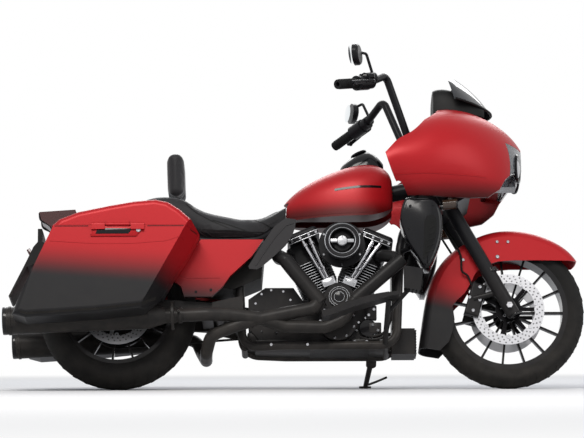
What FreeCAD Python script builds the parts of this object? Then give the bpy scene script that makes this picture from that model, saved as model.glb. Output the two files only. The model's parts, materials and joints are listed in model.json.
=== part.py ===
"""Touring cruiser motorcycle with a frame-mounted fairing and hard saddlebags, leaning on its side stand.

The bike is drawn upright: X points forward from the rear axle, Y to the rider's left, Z up from the ground.
Each finished piece is then leaned to the left as a whole, onto the side stand's foot.
"""
import FreeCAD, Part

import math
import os

import Sketcher

Vector = FreeCAD.Vector
Rotation = FreeCAD.Rotation
Placement = FreeCAD.Placement

SIZES = {
    # Stance
    "wheelbase": 1625.0,
    "lean_angle": 12.5,
    "steering_rake": 26.0,
    "steering_trail": 173.0,
    "fork_angle": 29.25,
    "seat_gap": 0.3,
    "panel_gap": 1.0,
    "running_gap": 8.0,
    "cut_overrun": 5.0,
    # Tyres and wheels
    "rear_tyre_radius": 327.6,
    "rear_tyre_width": 180.0,
    "rear_crown_radius": 95.0,
    "rear_bead_radius": 229.0,
    "rear_rim_width": 128.0,
    "front_tyre_radius": 319.3,
    "front_tyre_width": 130.0,
    "front_crown_radius": 70.0,
    "front_bead_radius": 241.5,
    "front_rim_width": 96.0,
    "tyre_wall_radius": 60.0,
    "rim_lip": 9.0,
    "rim_thickness": 7.0,
    "rim_well": 14.0,
    "spoke_count": 15.0,
    "spoke_width": 9.0,
    "spoke_depth": 26.0,
    "hub_radius": 38.0,
    "axle_radius": 12.5,
    "axle_clearance": 0.05,
    "front_hub_width": 151.0,
    "rear_hub_width": 132.0,
    "disc_radius": 150.0,
    "disc_band": 38.0,
    "disc_thickness": 5.0,
    "disc_arm_count": 7.0,
    "disc_arm_width": 16.0,
    "front_disc_offset": 78.0,
    "rear_disc_offset": 68.5,
    "pulley_radius": 125.0,
    "sprocket_x": 610.0,
    "sprocket_z": 300.0,
    "sprocket_radius": 52.0,
    "belt_thickness": 6.0,
    "belt_gap": 0.5,
    "primary_inner_y": 118.0,
    "pulley_width": 18.0,
    "pulley_offset": 105.0,
    # Fork and steering
    "fork_half_spacing": 125.0,
    "slider_radius": 29.0,
    "slider_length": 470.0,
    "stanchion_radius": 27.0,
    "fork_length": 766.0,
    "fork_foot": 38.0,
    "clamp_thickness": 32.0,
    "clamp_rear": 36.0,
    "clamp_front": 96.0,
    "stem_radius": 15.0,
    "head_radius": 31.0,
    "head_low": 800.0,
    "head_tube_length": 170.0,
    "clamp_gap": 8.0,
    "collar_radius": 18.75,
    "fender_mount_radius": 8.0,
    # Handlebar
    "bar_radius": 16.0,
    "bar_bend": 30.0,
    "bar_base_y": 95.0,
    "bar_base_back": 8.0,
    "riser_height": 35.0,
    "bar_elbow_back": 110.0,
    "bar_elbow_rise": 299.0,
    "bar_knee_back": 182.0,
    "bar_knee_rise": 232.0,
    "bar_end_back": 316.0,
    "bar_end_rise": 176.0,
    "bar_elbow_y": 180.0,
    "bar_knee_y": 300.0,
    "bar_end_y": 455.0,
    "bar_end_radius": 9.5,
    "bar_end_depth": 60.0,
    "grip_radius": 20.0,
    "grip_length": 125.0,
    "control_radius": 31.0,
    "control_length": 70.0,
    "lever_radius": 6.0,
    "lever_length": 165.0,
    "lever_gap": 44.0,
    "reservoir_length": 60.0,
    "reservoir_radius": 22.0,
    "riser_radius": 26.0,
    "mirror_y": 420.0,
    "mirror_x": 985.0,
    "mirror_z": 1318.0,
    "mirror_width": 132.0,
    "mirror_height": 84.0,
    "mirror_thickness": 26.0,
    "mirror_stem_radius": 6.0,
    "mirror_turn": 11.0,
    # Front fender and brake
    "fender_thickness": 5.0,
    "fender_half_width": 84.0,
    "fender_depth": 185.0,
    "caliper_length": 140.0,
    "caliper_width": 62.0,
    "caliper_thickness": 56.0,
    "caliper_slot": 17.0,
    "caliper_angle": 164.0,
    "rear_caliper_angle": 146.0,
    # Frame
    "backbone_radius": 34.0,
    "backbone_rear_z": 742.0,
    "cradle_radius": 18.0,
    "cradle_half_width": 112.0,
    "cradle_low": 160.0,
    "cradle_front": 1158.0,
    "cradle_rear": 520.0,
    "upright_y": 72.0,
    "rail_radius": 15.0,
    "rail_half_width": 127.5,
    "rail_height": 604.0,
    "rail_rear": -170.0,
    "rail_climb": 56.0,
    "rail_kink": 380.0,
    "peg_radius": 9.0,
    "bag_bracket_drop": 52.0,
    "cooler_low": 250.0,
    "cooler_high": 500.0,
    "cooler_half_width": 97.0,
    "cooler_thickness": 36.0,
    "neck_length": 150.0,
    "gusset_thickness": 22.0,
    "pivot_x": 430.0,
    "pivot_z": 300.0,
    "tube_bend": 70.0,
    "arm_half_spacing": 134.0,
    "arm_width": 30.0,
    "arm_height": 62.0,
    "shock_radius": 24.0,
    "shock_y": 186.0,
    # Engine
    "crank_x": 915.0,
    "crank_z": 250.0,
    "bank_angle": 22.5,
    "deck_height": 150.0,
    "barrel_length": 150.0,
    "barrel_radius": 56.0,
    "fin_half_width": 80.0,
    "fin_thickness": 3.4,
    "fin_pitch": 11.5,
    "fin_count": 13.0,
    "head_length": 85.0,
    "rocker_height": 44.0,
    "rocker_half_width": 66.0,
    "rocker_half_depth": 96.0,
    "rocker_shift": 14.0,
    "vee_gap": 2.0,
    "case_half_width": 92.0,
    "case_front": 1046.0,
    "case_rear": 800.0,
    "case_low": 150.0,
    "case_top": 420.0,
    "gearbox_rear": 545.0,
    "gearbox_top": 412.0,
    "clutch_x": 662.0,
    "clutch_z": 300.0,
    "cam_cover_radius": 80.0,
    "cam_cover_top_radius": 62.0,
    "medallion_step": 9.0,
    "cam_cover_thickness": 42.0,
    "medallion_radius": 43.0,
    "medallion_x": 922.0,
    "medallion_z": 360.0,
    "primary_thickness": 92.0,
    "primary_radius": 70.0,
    "pushrod_radius": 9.0,
    "pushrod_y": 112.0,
    "pushrod_shift": 18.0,
    "pushrod_spread": 16.0,
    "lifter_spacing": 44.0,
    "lifter_width": 36.0,
    "lifter_length": 54.0,
    "lifter_height": 32.0,
    "cleaner_x": 934.0,
    "cleaner_z": 574.0,
    "cleaner_radius": 74.0,
    "cleaner_inner": 50.0,
    "cleaner_y": 150.0,
    "cleaner_depth": 96.0,
    "backplate_radius": 96.0,
    "backplate_thickness": 16.0,
    # Exhaust
    "header_radius": 28.0,
    "header_bend": 62.0,
    "header_elbow": 38.0,
    "branch_radius": 26.0,
    "pipe_wall": 2.0,
    "header_y": 200.0,
    "muffler_y": 230.0,
    "muffler_z": 240.0,
    "muffler_rise": 22.0,
    "muffler_radius": 57.0,
    "muffler_tail": -458.0,
    "muffler_taper": 70.0,
    "outlet_radius": 50.0,
    "outlet_depth": 120.0,
    "muffler_front": 250.0,
    # Bodywork
    "tank_length": 477.0,
    "tank_front": 1148.0,
    "tank_low": 704.0,
    "tank_height": 256.0,
    "tank_half_width": 158.0,
    "tunnel_half_width": 48.0,
    "tunnel_height": 84.0,
    "console_height": 58.0,
    "seat_rear": 90.0,
    "seat_rise": 18.0,
    "seat_overlap": 41.0,
    "seat_height": 182.0,
    "seat_half_width": 182.0,
    "pad_x": 244.0,
    "pad_low": 806.0,
    "pad_height": 190.0,
    "pad_half_width": 112.0,
    "pad_thickness": 64.0,
    "pad_recline": 2.0,
    "post_half_width": 22.0,
    "post_thickness": 12.0,
    "post_depth": 50.0,
    "rear_fender_half_width": 112.0,
    "rear_fender_radius": 432.0,
    "rear_fender_x": 50.0,
    "rear_fender_z": 335.0,
    "cover_y": 172.0,
    "cover_thickness": 22.0,
    "cover_rear": 236.0,
    "cover_length": 372.0,
    "cover_low": 350.0,
    "battery_rear": 350.0,
    "battery_length": 262.0,
    "battery_low": 400.0,
    "battery_half_width": 110.0,
    "deflector_y": 206.0,
    "deflector_thickness": 14.0,
    "deflector_rear": 547.0,
    "deflector_length": 197.0,
    "deflector_low": 459.0,
    "deflector_height": 218.0,
    "bag_inner_y": 217.0,
    "bag_outer_y": 452.0,
    "bag_wall": 4.0,
    "bag_rear": -405.0,
    "bag_length": 750.0,
    "bag_low": 210.0,
    "bag_height": 490.0,
    "bag_step_y": 300.0,
    "bag_step_z": 322.0,
    "bag_lid_line": 588.0,
    "hinge_y": 459.0,
    "hinge_z": 589.0,
    "hinge_radius": 7.0,
    "hinge_pin_radius": 3.5,
    "hinge_x": -86.0,
    "knuckle_length": 54.0,
    "knuckle_gap": 6.0,
    "barrel_length_lid": 94.0,
    "hinge_plate_thickness": 3.0,
    "bag_round": 26.0,
    "lid_round": 24.0,
    "lid_edge": 24.0,
    "fairing_rear": 1104.0,
    "fairing_length": 588.0,
    "fairing_low": 751.0,
    "fairing_height": 425.0,
    "fairing_half_width": 400.0,
    "fairing_wall": 6.0,
    "screen_thickness": 4.0,
    "lower_y": 176.0,
    "lower_thickness": 120.0,
    "lower_rear": 1170.0,
    "lower_length": 177.0,
    "lower_low": 437.0,
    "lower_height": 308.0,
    "lower_round": 22.0,
    "regulator_x": 1140.0,
    "regulator_length": 96.0,
    "regulator_half_width": 60.0,
    "regulator_low": 134.0,
    "regulator_height": 110.0,
    "board_y": 330.0,
    "board_width": 98.0,
    "board_rear": 845.0,
    "board_length": 315.0,
    "board_low": 210.0,
    "board_rise": 106.0,
    "pedal_width": 64.0,
    "board_arm_radius": 11.0,
    # Side stand
    "stand_pivot_x": 1059.0,
    "stand_pivot_y": 165.0,
    "stand_pivot_z": 150.0,
    "stand_foot_x": 1037.0,
    "stand_foot_y": 330.0,
    "stand_radius": 12.0,
    "stand_tilt": 25.6,
    "stand_eye_half": 13.0,
    "foot_radius": 26.0,
    "foot_thickness": 9.0,
    "lamp_half_width": 70.0,
    "plate_half_width": 90.0,
    "signal_y": 250.0,
    "signal_radius": 21.0,
    "signal_length": 60.0,
    "stalk_radius": 9.0,
}

doc = FreeCAD.newDocument("cruiser")
sheet = doc.addObject("Spreadsheet::Sheet", "Sizes")
nodes = []


class Size:
    """A named size, or a sum of named sizes, that knows its value and how the sheet writes it."""

    def __init__(self, value, text):
        self.value = value
        self.text = text

    def __float__(self):
        return self.value

    def __add__(self, other):
        return Size(self.value + float(other), "(%s + %s)" % (self.text, text_of(other)))

    def __sub__(self, other):
        return Size(self.value - float(other), "(%s - %s)" % (self.text, text_of(other)))

    def __mul__(self, other):
        return Size(self.value * float(other), "(%s * %s)" % (self.text, text_of(other)))

    def __truediv__(self, other):
        return Size(self.value / float(other), "(%s / %s)" % (self.text, text_of(other)))

    def __neg__(self):
        return Size(-self.value, "(0 - %s)" % self.text)


def text_of(amount):
    return amount.text if isinstance(amount, Size) else repr(float(amount))


def fill_sheet():
    """Write every driving dimension in the sheet, under its own name."""
    for row, (name, value) in enumerate(SIZES.items(), start=1):
        sheet.set("A%d" % row, name)
        sheet.set("B%d" % row, repr(value))
        sheet.setAlias("B%d" % row, name)
    doc.recompute()


def size(name):
    """A driving dimension, for use in expressions."""
    return Size(float(sheet.get(name)), "Sizes." + name)


def mm(name):
    """A driving dimension as a plain number."""
    return float(sheet.get(name))


def bind(item, name, amount):
    """Give a property its value from the sheet."""
    item.setExpression(name, text_of(amount))


# Places shared by several pieces


def cos_of(angle):
    return math.cos(math.radians(angle))


def sin_of(angle):
    return math.sin(math.radians(angle))


def tan_of(angle):
    return math.tan(math.radians(angle))


def front_axle_z():
    """Height of the front axle that puts both leaning tyres on the ground."""
    lean = mm("lean_angle")
    crown_step = mm("rear_crown_radius") - mm("front_crown_radius")
    return mm("front_tyre_radius") - crown_step * (1 - cos_of(lean)) / cos_of(lean)


def lean_lift():
    """How far the leaning bike rises so that its round tyres rest on the ground."""
    return mm("rear_crown_radius") * (1 - cos_of(mm("lean_angle")))


def lean():
    """Placement that leans the upright bike to its left on the ground."""
    turn = Rotation(Vector(1, 0, 0), -mm("lean_angle"))
    return Placement(Vector(0, 0, lean_lift()), turn)


def rear_axle():
    return Vector(0, 0, mm("rear_tyre_radius"))


def front_axle():
    return Vector(mm("wheelbase"), 0, front_axle_z())


def steering_axis_x(height):
    """Where the steering axis passes at a height above the ground."""
    return mm("wheelbase") + mm("steering_trail") - height * tan_of(mm("steering_rake"))


def fork_place():
    """Frame of the fork: origin on the front axle, Z up along the legs, X forward."""
    return Placement(front_axle(), Rotation(Vector(0, 1, 0), -mm("fork_angle")))


def head_high():
    """Height of the head tube's upper end."""
    return mm("head_low") + mm("head_tube_length")


def tank_rear():
    return mm("tank_front") - mm("tank_length")


def seat_low():
    """The seat's underside, just above the rails."""
    return mm("rail_height") + mm("seat_rise")


def span(share):
    """A length given as a share of the wheelbase."""
    return share * mm("wheelbase")


def spots(shares):
    """Places given as shares of the wheelbase: ahead of the rear axle, to the left, above the ground."""
    return [Vector(span(along), span(across), span(up)) for along, across, up in shares]


def fitted(shares, rear, length, low, height):
    """Points of a side outline from their shares of a length and a height."""
    return [(rear + along * length, low + up * height) for along, up in shares]


# Shape helpers


def keep(name, item, place=None):
    """Name a finished piece and remember it as a node; its place is in the upright bike."""
    item.Label = name
    nodes.append((name, item, place or Placement()))
    return item


def feature(name, shape):
    """A node whose shape is computed here, already in its place on the upright bike."""
    item = doc.addObject("Part::Feature", name)
    item.Shape = shape
    return keep(name, item, item.Placement)


def polygon(points):
    return Part.makePolygon(list(points) + [points[0]])


def prism(outline, start_y, end_y):
    """A flat plate: an outline of (x, z) points run across the bike."""
    wire = polygon([Vector(x, start_y, z) for x, z in outline])
    return Part.Face(wire).extrude(Vector(0, end_y - start_y, 0))


def rod(start, end, radius):
    """A round bar between two points."""
    run = end - start
    return Part.makeCylinder(radius, run.Length, start, run)


def hollow_rod(start, end, radius, bore):
    return rod(start, end, radius).cut(rod(start, end, bore))


def rounded_path(points, bend):
    """Straight runs joined by tangent arcs."""
    edges = []
    start = points[0]
    for before, corner, after in zip(points, points[1:], points[2:]):
        toward = (before - corner).normalize()
        away = (after - corner).normalize()
        half = (math.pi - toward.getAngle(away)) / 2
        reach = min(bend * math.tan(half), (before - corner).Length * 0.49, (after - corner).Length * 0.49)
        radius = reach / math.tan(half)
        first = corner + toward * reach
        last = corner + away * reach
        inside = (toward + away).normalize()
        middle = corner + inside * (radius / math.cos(half) - radius)
        if (first - start).Length > bend / 1000:
            edges.append(Part.LineSegment(start, first).toShape())
        edges.append(Part.Arc(first, middle, last).toShape())
        start = last
    edges.append(Part.LineSegment(start, points[-1]).toShape())
    return Part.Wire(edges)


def tube(points, radius, bend):
    """A solid round tube along straight runs joined by arcs."""
    path = rounded_path(points, bend)
    run = points[1] - points[0]
    ring = Part.Wire(Part.makeCircle(radius, points[0], run))
    sweep = Part.BRepOffsetAPI.MakePipeShell(path)
    sweep.setFrenetMode(False)
    sweep.setTransitionMode(1)
    sweep.add(ring)
    sweep.build()
    sweep.makeSolid()
    return sweep.shape()


def mirrored(shape):
    """The same shape on the other side of the bike."""
    return shape.mirror(Vector(0, 0, 0), Vector(0, 1, 0))


def pair(shape):
    """A shape with its mirror image, as two solids of one piece."""
    return Part.makeCompound([shape, mirrored(shape)])


def fuse(shapes):
    first = shapes[0]
    return first.multiFuse(shapes[1:]).removeSplitter() if len(shapes) > 1 else first


def turned_box(length, width, height, centre, angle):
    """A box centred on a point, turned in the side view about the crosswise axis."""
    box = Part.makeBox(length, width, height, Vector(-length / 2, -width / 2, -height / 2))
    box.Placement = Placement(centre, Rotation(Vector(0, 1, 0), angle))
    return box


def soften(shape, radius, chosen=None):
    """Round the edges that a rule picks, or leave the shape alone where they can't be rounded."""
    edges = [edge for edge in shape.Edges if chosen is None or chosen(edge)]
    return shape.makeFillet(radius, edges)


def along_bike(edge):
    """True for an edge that runs lengthwise, not straight across the bike."""
    box = edge.BoundBox
    return box.YLength < (box.XLength + box.ZLength) / 1000


# Lofted sections


def crown_wire(x, half_width, low, high, shoulder_share, width_share):
    """A section across the bike: flat below, sides bulging, top domed."""
    tall = high - low
    sides = [(1.0, 0.0), (1.0, 0.30), (width_share, shoulder_share), (0.45, 0.955), (0.0, 1.0)]
    right = [Vector(x, -share * half_width, low + up * tall) for share, up in sides]
    left = [Vector(p.x, -p.y, p.z) for p in reversed(right[:-1])]
    curve = Part.BSplineCurve()
    curve.interpolate(right + left)
    base = Part.LineSegment(left[-1], right[0]).toShape()
    return Part.Wire([curve.toShape(), base])


def loft(wires):
    return Part.makeLoft(wires, True, False)


# Sketches and bodies


def plane_of(body, role):
    return [item for item in body.Origin.OriginFeatures if item.Role == role][0]


def new_sketch(body, role, name):
    sketch = body.newObject("Sketcher::SketchObject", name)
    sketch.AttachmentSupport = [(plane_of(body, role), "")]
    sketch.MapMode = "FlatFace"
    return sketch


def fix_point(sketch, geometry, end, across, up):
    """Hold a sketch point at two sizes measured from the origin."""
    for kind, amount in (("DistanceX", across), ("DistanceY", up)):
        index = sketch.addConstraint(Sketcher.Constraint(kind, geometry, end, float(amount)))
        if isinstance(amount, Size):
            sketch.setExpression("Constraints[%d]" % index, amount.text)


def add_circle(sketch, across, up, radius):
    centre = Vector(float(across), float(up), 0)
    index = sketch.addGeometry(Part.Circle(centre, Vector(0, 0, 1), float(radius)))
    fix_point(sketch, index, 3, across, up)
    held = sketch.addConstraint(Sketcher.Constraint("Radius", index, float(radius)))
    sketch.setExpression("Constraints[%d]" % held, text_of(radius))


def arc_middle(start, end, radius, side):
    """The middle point of an arc that bulges to the right of travel when side is 1."""
    chord = end - start
    half = chord.Length / 2
    rise = radius - math.sqrt(max(radius * radius - half * half, 0))
    outward = Vector(chord.y, -chord.x, 0).normalize()
    return (start + end) / 2 + outward * rise * side


def add_outline(sketch, corners):
    """A closed outline; a corner with a third value starts an arc of that radius, bulging outwards."""
    points = [Vector(float(c[0]), float(c[1]), 0) for c in corners]
    for number, corner in enumerate(corners):
        start = points[number]
        end = points[(number + 1) % len(points)]
        after = corners[(number + 1) % len(points)]
        if len(corner) > 2:
            middle = arc_middle(start, end, float(corner[2]), 1)
            index = sketch.addGeometry(Part.Arc(start, middle, end))
            held = sketch.addConstraint(Sketcher.Constraint("Radius", index, float(corner[2])))
            sketch.setExpression("Constraints[%d]" % held, text_of(corner[2]))
        else:
            index = sketch.addGeometry(Part.LineSegment(start, end))
        fix_point(sketch, index, 1, corner[0], corner[1])
        fix_point(sketch, index, 2, after[0], after[1])


def revolve(body, sketch, name, axis="V_Axis"):
    turned = body.newObject("PartDesign::Revolution", name)
    turned.Profile = sketch
    turned.ReferenceAxis = (sketch, [axis])
    turned.Angle = 360
    return turned


def pad(body, sketch, name, length, both_ways=False):
    grown = body.newObject("PartDesign::Pad", name)
    grown.Profile = sketch
    bind(grown, "Length", length)
    if both_ways:
        grown.Midplane = True
    return grown


def polar_copies(body, item, role, count, name):
    copies = body.newObject("PartDesign::PolarPattern", name)
    copies.Originals = [item]
    copies.Axis = (plane_of(body, role), [""])
    copies.Angle = 360
    bind(copies, "Occurrences", count)
    body.Tip = copies
    return copies


def new_body(name):
    return doc.addObject("PartDesign::Body", name)


# Wheels


def make_tyre(name, radius, width, crown, bead, rim_width, place):
    """A tyre as one ring: a round crown, two rounded walls and a bead face on the rim."""
    body = new_body(name)
    sketch = new_sketch(body, "XY_Plane", name + "_profile")
    edge = radius - crown + crown * 0.32
    wall = size("tyre_wall_radius")
    half = width / 2
    bead_half = rim_width / 2
    shoulder = bead + size("rim_lip")
    add_outline(sketch, [
        (bead, -bead_half),
        (shoulder, -bead_half, wall),
        (edge, -half, crown),
        (edge, half, wall),
        (shoulder, bead_half),
        (bead, bead_half),
    ])
    revolve(body, sketch, name + "_ring")
    return keep(name, body, place)


def make_rim(name, bead, rim_width, hub_width, place):
    """A cast wheel: rim, hub and thin spokes in one piece."""
    body = new_body(name)
    lip = size("rim_lip")
    wall = size("rim_thickness")
    well = size("rim_well")
    half = rim_width / 2
    bore = size("axle_radius") + size("axle_clearance")
    barrel = new_sketch(body, "XY_Plane", name + "_barrel")
    add_outline(barrel, [
        (bead - well, -half - wall), (bead + lip, -half - wall), (bead + lip, -half), (bead, -half),
        (bead, half), (bead + lip, half), (bead + lip, half + wall), (bead - well, half + wall),
    ])
    revolve(body, barrel, name + "_rim")
    hub = new_sketch(body, "XY_Plane", name + "_hub_profile")
    reach = hub_width / 2
    add_outline(hub, [(bore, -reach), (size("hub_radius"), -reach), (size("hub_radius"), reach), (bore, reach)])
    revolve(body, hub, name + "_hub")
    spoke = new_sketch(body, "XY_Plane", name + "_spoke_profile")
    depth = size("spoke_depth") / 2
    inner = size("hub_radius") - wall
    outer = bead - well + wall / 2
    add_outline(spoke, [(inner, -depth), (outer, -depth), (outer, depth), (inner, depth)])
    blade = pad(body, spoke, name + "_spoke", size("spoke_width"), both_ways=True)
    polar_copies(body, blade, "Y_Axis", size("spoke_count"), name + "_spokes")
    return keep(name, body, place)


def make_disc(name, offset, place):
    """A brake disc: a ring held by arms on a centre flange."""
    body = new_body(name)
    half = size("disc_thickness") / 2
    outer = size("disc_radius")
    inner = outer - size("disc_band")
    ring = new_sketch(body, "XY_Plane", name + "_ring_profile")
    add_outline(ring, [(inner, offset - half), (outer, offset - half), (outer, offset + half), (inner, offset + half)])
    revolve(body, ring, name + "_ring")
    flange = new_sketch(body, "XY_Plane", name + "_flange_profile")
    low = size("hub_radius") - size("disc_arm_width")
    high = size("hub_radius") + size("disc_arm_width")
    add_outline(flange, [(low, offset - half), (high, offset - half), (high, offset + half), (low, offset + half)])
    revolve(body, flange, name + "_flange")
    arm = new_sketch(body, "XY_Plane", name + "_arm_profile")
    add_outline(arm, [(low, offset - half), (inner + half, offset - half),
                      (inner + half, offset + half), (low, offset + half)])
    arm_pad = pad(body, arm, name + "_arm", size("disc_arm_width"), both_ways=True)
    polar_copies(body, arm_pad, "Y_Axis", size("disc_arm_count"), name + "_arms")
    return body


def make_front_discs(place):
    right = make_disc("right_disc", -size("front_disc_offset"), place)
    left = make_disc("left_disc", size("front_disc_offset"), place)
    both = doc.addObject("Part::Compound", "front_discs")
    both.Links = [right, left]
    return keep("front_discs", both, place)


def make_pulley(place):
    body = new_body("rear_pulley")
    sketch = new_sketch(body, "XY_Plane", "pulley_profile")
    half = size("pulley_width") / 2
    middle = size("pulley_offset")
    low = size("stem_radius") + size("rim_thickness") / 2
    hub = size("hub_radius")
    face = size("rear_hub_width") / 2
    add_outline(sketch, [(low, face), (hub, face), (hub, middle - half), (size("pulley_radius"), middle - half),
                         (size("pulley_radius"), middle + half), (low, middle + half)])
    revolve(body, sketch, "pulley_ring")
    return keep("rear_pulley", body, place)


def make_wheels():
    front = Placement(front_axle(), Rotation())
    rear = Placement(rear_axle(), Rotation())
    make_tyre("front_tyre", size("front_tyre_radius"), size("front_tyre_width"), size("front_crown_radius"),
              size("front_bead_radius"), size("front_rim_width"), front)
    make_tyre("rear_tyre", size("rear_tyre_radius"), size("rear_tyre_width"), size("rear_crown_radius"),
              size("rear_bead_radius"), size("rear_rim_width"), rear)
    make_rim("front_wheel", size("front_bead_radius"), size("front_rim_width"), size("front_hub_width"), front)
    make_rim("rear_wheel", size("rear_bead_radius"), size("rear_rim_width"), size("rear_hub_width"), rear)
    make_front_discs(front)
    keep("rear_disc", make_disc("rear_disc", -size("rear_disc_offset"), rear), rear)
    make_pulley(rear)


# Fork, steering and front brake


def fork_box(start_x, length, half_width, height, thickness):
    """A block across the fork, square to its legs."""
    box = Part.makeBox(length, 2 * half_width, thickness, Vector(start_x, -half_width, height))
    box.Placement = fork_place().multiply(box.Placement)
    return box


def fork_point(forward, across, height):
    return fork_place().multVec(Vector(forward, across, height))


def leg_shape(side, extra=0.0):
    """One fork leg: a thicker slider below, the stanchion above."""
    across = side * mm("fork_half_spacing")
    foot = fork_point(0, across, -mm("fork_foot"))
    joint = fork_point(0, across, mm("slider_length"))
    top = fork_point(0, across, mm("fork_length"))
    slider = rod(foot, joint, mm("slider_radius") + extra)
    stanchion = rod(joint, top, mm("stanchion_radius") + extra)
    return slider.fuse(stanchion)


def front_axle_rod():
    reach = mm("fork_half_spacing") + mm("slider_radius") + mm("rim_thickness")
    centre = front_axle()
    return rod(centre - Vector(0, reach, 0), centre + Vector(0, reach, 0), mm("axle_radius"))


FENDER_MOUNT_SHARES = (0.564, 0.649)


def make_fork():
    """Both fork legs with the axle, its collars and the stubs that hold the fender."""
    inner = mm("fork_half_spacing") - mm("slider_radius") / 2
    hub_face = mm("front_disc_offset") + mm("disc_thickness") / 2 + mm("panel_gap")
    shapes = [front_axle_rod(), leg_shape(-1), leg_shape(1)]
    for side in (-1, 1):
        start = front_axle() + Vector(0, side * hub_face, 0)
        shapes.append(rod(start, front_axle() + Vector(0, side * inner, 0), mm("collar_radius")))
        for share in FENDER_MOUNT_SHARES:
            foot = fork_point(0, side * inner, share * mm("slider_length"))
            tip = Vector(foot.x, side * mm("fender_half_width"), foot.z)
            shapes.append(rod(foot, tip, mm("fender_mount_radius")))
    feature("fork_legs", fuse(shapes))
    make_clamps()


def steering_point(height):
    return Vector(steering_axis_x(height), 0, height)


def clamp_heights():
    """Heights along the fork of the two clamps, just clear of the head tube's ends."""
    into = fork_place().inverse()
    low = into.multVec(steering_point(mm("head_low"))).z
    high = into.multVec(steering_point(head_high())).z
    return low - mm("clamp_gap") - mm("clamp_thickness"), high + mm("clamp_gap")


def make_clamps():
    length = mm("clamp_rear") + mm("clamp_front")
    half = mm("fork_half_spacing") + mm("clamp_rear")
    thick = mm("clamp_thickness")
    corner = mm("clamp_rear") * 0.8
    shapes = []
    for height in clamp_heights():
        block = fork_box(-mm("clamp_rear"), length, half, height, thick)
        shapes.append(soften(block, corner, lambda e: e.Length < thick * 1.05))
    shapes.append(rod(steering_point(mm("head_low") - thick), steering_point(head_high() + thick / 2),
                      mm("stem_radius")))
    clamps = fuse(shapes)
    for side in (-1, 1):
        clamps = clamps.cut(leg_shape(side))
    feature("fork_clamps", fuse([clamps] + make_risers()))


def bar_base():
    """Middle of the handlebar's straight base, above the upper fork clamp."""
    height = clamp_heights()[1] + mm("clamp_thickness") + mm("riser_height")
    return fork_point(-mm("bar_base_back"), 0, height)


def bar_path():
    """The handlebar's centre line from the right grip to the left one."""
    base = bar_base()
    right = [base + Vector(-mm("bar_%s_back" % part), -mm("bar_%s_y" % part), mm("bar_%s_rise" % part))
             for part in ("end", "knee", "elbow")]
    right.append(base - Vector(0, mm("bar_base_y"), 0))
    return right + [Vector(p.x, -p.y, p.z) for p in reversed(right)]


def bar_tube(radius):
    return tube(bar_path(), radius, mm("bar_bend"))


def make_risers():
    """Two clamps that hold the bar's base on the upper fork clamp."""
    low = clamp_heights()[1] + mm("clamp_thickness")
    wide = mm("riser_radius")
    blocks = []
    for side in (-1, 1):
        start = Vector(-mm("bar_base_back") - wide, (side * 1.5 - 0.8) * wide, low)
        block = Part.makeBox(2 * wide, 1.6 * wide, mm("riser_height") + wide, start)
        block.Placement = fork_place().multiply(block.Placement)
        blocks.append(block.cut(bar_tube(mm("bar_radius"))))
    return blocks


def bar_end_bores():
    """The blind holes in the bar's ends, for weights or bar-end mirrors."""
    end, knee = bar_path()[0], bar_path()[1]
    inward = (knee - end).normalize()
    return pair(rod(end - inward, end + inward * mm("bar_end_depth"), mm("bar_end_radius")))


def make_handlebar():
    feature("handlebar", bar_tube(mm("bar_radius")).cut(bar_end_bores()))
    path = bar_path()
    end, knee = path[0], path[1]
    inward = (knee - end).normalize()
    grip_end = end + inward * mm("grip_length")
    housing_end = grip_end + inward * mm("control_length")
    grip = hollow_rod(end, grip_end, mm("grip_radius"), mm("bar_radius"))
    feature("grips", pair(grip))
    housing = rod(grip_end, housing_end, mm("control_radius"))
    perch = housing_end + inward * mm("control_radius")
    collar = rod(housing_end, perch, mm("control_radius") * 0.85)
    forward = Vector(0, 0, 1).cross(inward).normalize()
    forward = forward if forward.x > 0 else forward * -1
    lever_start = perch - inward * mm("control_radius") / 2 + forward * mm("bar_radius") * 1.2
    lever_bend = lever_start + forward * mm("lever_gap") * 0.7 - inward * mm("lever_gap") * 0.6
    lever_tip = grip_end - inward * mm("grip_length") * 0.72 + forward * mm("lever_gap") * 1.05
    lever = tube([lever_start, lever_bend, lever_tip], mm("lever_radius"), mm("lever_gap") / 2)
    up = inward.cross(forward).normalize()
    up = up if up.z > 0 else up * -1
    tank_low = perch + up * mm("bar_radius") * 1.1 + forward * mm("bar_radius")
    reservoir = rod(tank_low, tank_low - inward * mm("reservoir_length"), mm("reservoir_radius"))
    bar = bar_tube(mm("bar_radius"))
    control = fuse([housing, collar, lever, reservoir]).cut(bar).cut(grip)
    feature("bar_controls", pair(control))
    make_mirrors(control, tank_low, bar)


def make_mirrors(control, foot, bar):
    half_width = mm("mirror_width") / 2
    half_height = mm("mirror_height") / 2
    thick = mm("mirror_thickness")
    centre = Vector(mm("mirror_x"), -mm("mirror_y"), mm("mirror_z"))
    ring = Part.Ellipse(Vector(0, 0, 0), half_width, half_height)
    head = Part.Face(Part.Wire(ring.toShape())).extrude(Vector(0, 0, thick))
    head = soften(head, thick * 0.45, lambda e: e.BoundBox.ZMin > thick / 2)
    turn = Rotation(Vector(0, 0, 1), -mm("mirror_turn"))
    upright = Rotation(Vector(0, 0, 1), Vector(1, 0, 0)).multiply(Rotation(Vector(0, 0, 1), 90))
    head.Placement = Placement(centre, turn.multiply(upright))
    back = centre + Vector(thick * 0.5, half_width * 0.3, half_height * 0.45)
    bend = centre + Vector(thick * 2, half_width, half_height * 0.6)
    stem = tube([foot, bend, back], mm("mirror_stem_radius"), half_height * 0.4)
    mirror = fuse([head, stem]).cut(control).cut(bar)
    feature("mirrors", pair(max(mirror.Solids, key=lambda s: s.Volume)))


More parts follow.
